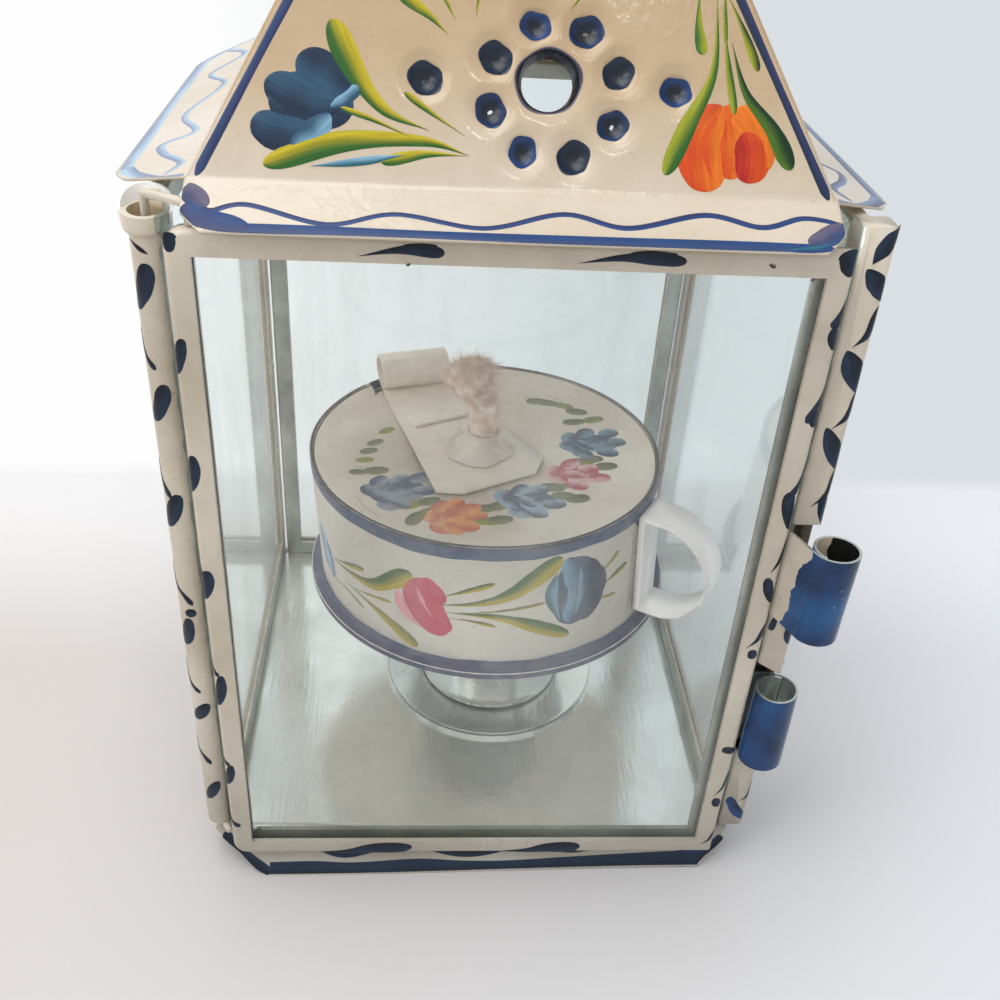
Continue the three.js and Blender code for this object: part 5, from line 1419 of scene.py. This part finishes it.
def garland():
    """Dabs of a loaded brush round the lid: leaves in pairs between five flowers."""
    def dab(x, y, length, width, bearing, left, right, lift=0.0):
        angle = math.radians(bearing)
        reach = length / 2 * np.array([math.cos(angle), math.sin(angle)])
        middle = np.array([x, y])
        return stroke(lid_place, "egg", width, left, right, middle - reach, middle, middle + reach, lift=lift)

    marks = []
    leaves = [    # x, y and bearing
        (-28.6, 11.6, 40), (-31.6, 4.8, 35), (-33.2, 0.1, 20), (-34.1, -4.7, 10), (-35.5, -11.0, 0),
        (-30.6, -10.1, 8), (-20.6, -26.3, 30), (-16.2, -24.8, 20), (-19.8, -32.8, 60), (-16.9, -30.1, 40),
        (-1.7, -27.7, 15), (2.5, -26.2, 25), (-0.8, -33.4, 0), (2.5, -32.7, 10), (17.6, -16.8, -10),
        (21.6, -15.3, 0), (20.3, -20.9, 0), (24.0, -22.1, 15), (27.2, -3.4, -10), (30.2, -1.8, 10),
        (33.8, -5.4, 10), (33.4, 20.9, 20), (27.2, 19.2, 10), (28.7, 25.5, -10), (24.7, 29.1, -20),
        (20.0, 30.7, -10), (17.0, 31.4, 0),
    ]
    for i, (x, y, bearing) in enumerate(leaves):
        size = 0.85 if i < 5 else 1.1
        tone = ("olive", "lime") if i % 3 == 0 else ("moss", "olive")
        marks.append(dab(x, y, 6.2 * size, 4.0 * size, bearing, *tone, 0.01 * (i % 3)))
    flowers = {    # dark and light paint, and where the petals lie
        ("slate", "haze"): [(-33.5, -20.0), (-30.8, -14.4), (-23.9, -13.4), (-17.0, -11.8), (-29.6, -24.0),
                            (-23.8, -19.7), (-15.5, -19.4), (-27.2, -28.5), (-23.6, -27.7)],
        ("coral", "apricot"): [(-16.5, -31.4), (-14.0, -26.1), (-9.5, -24.6), (-4.3, -27.1),
                               (-14.0, -38.0), (-8.1, -31.1), (-5.3, -36.8), (-9.6, -38.4),
                               (-2.6, -30.9)],
        ("slate", "ice"): [(2.0, -20.8), (8.3, -17.2), (14.5, -17.0), (4.0, -25.5), (10.1, -24.0),
                           (16.2, -23.7), (19.1, -25.0), (7.4, -30.6), (12.6, -30.5)],
        ("pink", "blush"): [(17.1, -8.3), (23.6, -3.6), (29.7, -6.3), (18.0, -12.6), (24.5, -10.2),
                            (33.0, -12.0), (24.6, -16.6)],
        ("mid", "sky"): [(23.3, 10.5), (29.6, 14.0), (38.2, 14.2), (22.7, 4.1), (28.7, 5.9), (34.7, 7.7),
                         (40.0, 8.0), (27.1, -0.4), (36.3, 0.8)],
    }
    for (dark, light), petals in flowers.items():
        middle = np.mean(petals, 0)
        wide, tall = np.ptp(petals, 0)
        marks.append(dab(*middle, 0.9 * wide, 0.8 * tall, 0, dark, light, 0.0))
        petals = middle + 0.8 * (np.array(petals) - middle)
        for i, (x, y) in enumerate(petals):
            bearing = math.degrees(math.atan2(y - middle[1], x - middle[0])) * 0.35 + 12
            tone = (dark, light) if i % 2 else (light, dark)
            marks.append(dab(x, y, 6.4, 4.9, bearing, *tone, 0.03 + 0.012 * (i % 4)))
    return marks


def lid_wear():
    """The drum's rim darkened with ink, open where the curl lies, and scratches in the lid's dust."""
    angle = np.radians(np.linspace(137, 137 + 340, 240))[:, None]
    r = np.array([[49.36, 49.42, 49.1, 48.5, 48.3]])
    rise = np.array([[92.7, 93.3, 93.56, 93.56, 93.2]]) + 0 * angle
    radius = r + 0.06 * np.sin(angle * 9) + 0 * angle
    axis = burner_axis(DRUM_TOP)
    rim = np.stack([axis + radius * np.cos(angle), BURNER_Y + radius * np.sin(angle), rise], -1) + MIDDLE
    colour = np.broadcast_to(paint_of("ink"), (*rise.shape, 3))
    scratches = [((-36.5, -20.8), (-32.9, -27.9), (-26.2, -34.6)),
                 ((-38.0, -8.0), (-33.0, -9.0), (-30.0, -8.6)),
                 ((20.0, 36.0), (24.0, 32.5), (26.4, 28.0)), ((-6.0, 33.0), (-2.0, 32.0), (2.2, 32.6))]
    return ([(rim[:, ::-1], colour, np.stack([radius, rise], -1))]
            + [stroke(lid_place, "leaf", 0.5, "grime", "cream", *scratch) for scratch in scratches])


painting("drum_painting", "burner", "burner_enamel", drum_marks(), DUSTY_BRUSH)
painting("lid_painting", "burner", "burner_enamel", garland() + lid_wear(), DUSTY_BRUSH)


# Wick: a lumpy plug of cotton with loose fibres standing out of it

def wick_radius(rise):
    """Radius over the tube's mouth: a neck, then a head that swells and closes."""
    return np.interp(rise, [-32, -0.5, 1.5, 9.0, 11.6, 13.0, 14.8, 17.6, 19.8, 20.9, 21.4],
                     [3.6, 3.7, 4.3, 3.9, 4.1, 5.8, 7.2, 7.3, 5.6, 2.8, 0.0])


def wick_point(rise, angle, radius):
    """A point of the wick, whose head leans to the left of its neck."""
    z = TUBE_TOP + rise
    middle = burner_axis(z) + WICK_X + 1.4 - 2.6 * eased((rise - 8) / 6)
    return np.stack([middle + radius * np.cos(angle), BURNER_Y + radius * np.sin(angle), z], -1) + MIDDLE


def build_wick():
    """The core is a lumpy turned plug, and each fibre a narrow strip that starts on it, stands
    out along its own way and bends off along its swirl."""
    rise = np.concatenate([np.linspace(-32, -1, 6), np.linspace(0, 21.4, 60)])[:, None]
    angle = np.linspace(0, 2 * np.pi, 73)[None, :]
    lumps = (1 + 0.06 * np.sin(3 * angle + 0.5 * rise) + 0.04 * np.sin(5 * angle - 0.9 * rise)
             + 0.025 * np.sin(9 * angle + 2.1 * rise))
    radius = wick_radius(rise) * np.where(rise > 0.5, lumps, 1)
    core = wick_point(rise + 0 * angle, angle + 0 * rise, radius)
    plug = link("wick_core", sheets("wick_core", [core]), "wick", "wick_cotton", COTTON)

    count = 7200
    rise, angle = 0.6 + 20.6 * rng.random(count) ** 0.8, 2 * np.pi * rng.random(count)
    root = wick_point(rise, angle, wick_radius(rise) * 0.97)
    out = np.stack([np.cos(angle), np.sin(angle), np.clip((rise - 13) / 6, -0.6, 1.6)], -1)
    way = out / np.linalg.norm(out, axis=1, keepdims=True) + 0.75 * rng.normal(size=(count, 3))
    way /= np.linalg.norm(way, axis=1, keepdims=True)
    swirl = rng.normal(size=(count, 3))
    wide = np.cross(way, swirl)
    wide /= np.linalg.norm(wide, axis=1, keepdims=True)
    length = (0.8 + 1.6 * rng.random(count) ** 2) * (0.4 + 0.8 * eased((rise - 8) / 4))
    s = np.linspace(0, 1, 5)[None, :, None]
    spine = root[:, None] + (way[:, None] * s + 0.45 * swirl[:, None] * s ** 2) * length[:, None, None]
    half = 0.5 * (0.10 - 0.07 * s) * wide[:, None]
    hair = np.stack([spine - half, spine + half], 2)
    fluff = link("wick_fibres", sheets("wick_fibres", [hair]), "wick", "wick_cotton", COTTON)
    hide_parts("wick")
    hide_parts("wick")


build_wick()


# Stage and light

FOLD_Y = 129.0                               # where the board folds up, in millimetres
FOOTPRINT = 0.062                            # half the square round which the table takes its painted shadow, in metres


def board_paint():
    """The table part is white paint with painted shade, darker to the left and towards the front, and
    a painted shadow round the lantern's foot; the upright part is painted light, glowing as a lit
    wall does, whiter on the left. From behind the board is clear, so that it doesn't hide the
    lantern's back."""
    made, tree = material("white_board")
    node = partial(add, tree)
    _, x, y, z = object_place(tree)
    # painted shade: the table darkens to the left and towards the front
    side = node("MapRange", {0: x, 1: -0.3, 2: 0.2})
    table = node("Mix", {0: side, 6: "#BCB2A9", 7: "#D5D8DC"}, data_type="RGBA")
    side = node("MapRange", {0: y, 1: 0.02, 2: FOLD_Y * MM, 4: 0.6})
    table = node("Mix", {0: side, 6: table, 7: "#F2F4F6"}, data_type="RGBA")
    # painted shadow: the table darkens round the lantern's foot
    squares = []
    for way in (x, y):
        beyond = node("Math", {0: way}, operation="ABSOLUTE")
        beyond = node("Math", {0: beyond, 1: FOOTPRINT}, operation="SUBTRACT")
        beyond = node("Math", {0: beyond, 1: 0.0}, operation="MAXIMUM")
        squares.append(node("Math", {0: beyond, 1: 2.0}, operation="POWER"))
    far = node("Math", dict(enumerate(squares)), operation="ADD")
    far = node("Math", {0: far}, operation="SQRT")
    shade = node("MapRange", {0: far, 1: 0.0, 2: 0.055, 3: 0.2, 4: 0.0})
    table = node("Mix", {0: shade, 6: table, 7: "#9A918A"}, data_type="RGBA")
    matt = node("BsdfPrincipled", {"Base Color": table, "Roughness": 0.6, "Specular IOR Level": 0.3})
    # painted light: the wall glows, whiter on the left
    side = node("MapRange", {0: x, 1: -0.1, 2: 0.06})
    wall = node("Mix", {0: side, 6: "#FEFEFE", 7: "#DADFE3"}, data_type="RGBA")
    glow = node("Emission", {"Color": wall, "Strength": 1.0})
    risen = node("MapRange", {0: z, 1: 0.0003, 2: 0.007})
    front = node("MixShader", {0: risen, 1: matt, 2: glow})
    clear = node("BsdfTransparent")
    behind = node("NewGeometry").outputs["Backfacing"]
    mix = node("MixShader", {0: behind, 1: front, 2: clear})
    node("OutputMaterial", {"Surface": mix})
    return made


def build_stage():
    """A sheet of white board, flat on the table for the first half of its length, then folded up
    softly behind the lantern, leaning back a little."""
    across = np.linspace(-3000, 3000, 3)[None, :]
    t = np.linspace(0, 1, 61)[:, None]
    up = np.clip(t - 0.5, 0, 1) * eased((t - 0.5) / 0.06)
    run = np.where(t < 0.5, mixed(-2500, FOLD_Y, t / 0.5), FOLD_Y) + 1400 * up
    grid = np.stack([across + 0 * t, run + 0 * across, 7000 * up + 0 * across], -1)
    mesh = sheets("backdrop", [grid])
    mesh.materials.append(board_paint())
    board = new_object("backdrop", mesh)


def build_light():
    """Even white room light, stronger from above and from the left, with a large soft lamp over
    the lantern, one towards its left front, and a small bare bulb that puts the glints on the
    enamel."""
    world = bpy.data.worlds.new("room")
    bpy.context.scene.world = world
    world.use_nodes = True
    tree = world.node_tree
    tree.nodes.clear()
    node = partial(add, tree)
    way = node("SeparateXYZ", {0: node("TexCoord").outputs["Generated"]})
    above = node("MapRange", {0: way.outputs["Z"], 1: -0.2, 2: 0.9, 3: 0.8, 4: 1.05})
    left = node("MapRange", {0: way.outputs["X"], 1: -1.0, 2: 1.0, 3: 1.2, 4: 0.76})
    strength = node("Math", {0: above, 1: left}, operation="MULTIPLY")
    sky = node("Background", {"Color": "#F6F7FA", "Strength": strength})
    node("OutputWorld", {"Surface": sky})
    middle = Vector((0, 0, 0.12))
    for name, place, size, power in (
        ("overhead_softbox", (-0.25, -0.15, 1.1), 0.7, 5.0),
        ("window_softbox", (-0.75, -0.65, 0.9), 0.6, 3.0),
    ):
        lamp = bpy.data.lights.new(name, "AREA")
        lamp.size = size
        lamp.energy = power
        softbox = new_object(name, lamp)
        softbox.location = place
        softbox.rotation_euler = (middle - Vector(place)).to_track_quat("-Z", "Y").to_euler()
    lamp = bpy.data.lights.new("bare_bulb", "POINT")
    lamp.energy = 0.9
    lamp.shadow_soft_size = 0.02
    bulb = new_object("bare_bulb", lamp)
    bulb.location = (0.12, -0.45, 0.8)


build_stage()
build_light()
bpy.context.scene.view_settings.view_transform = "Standard"
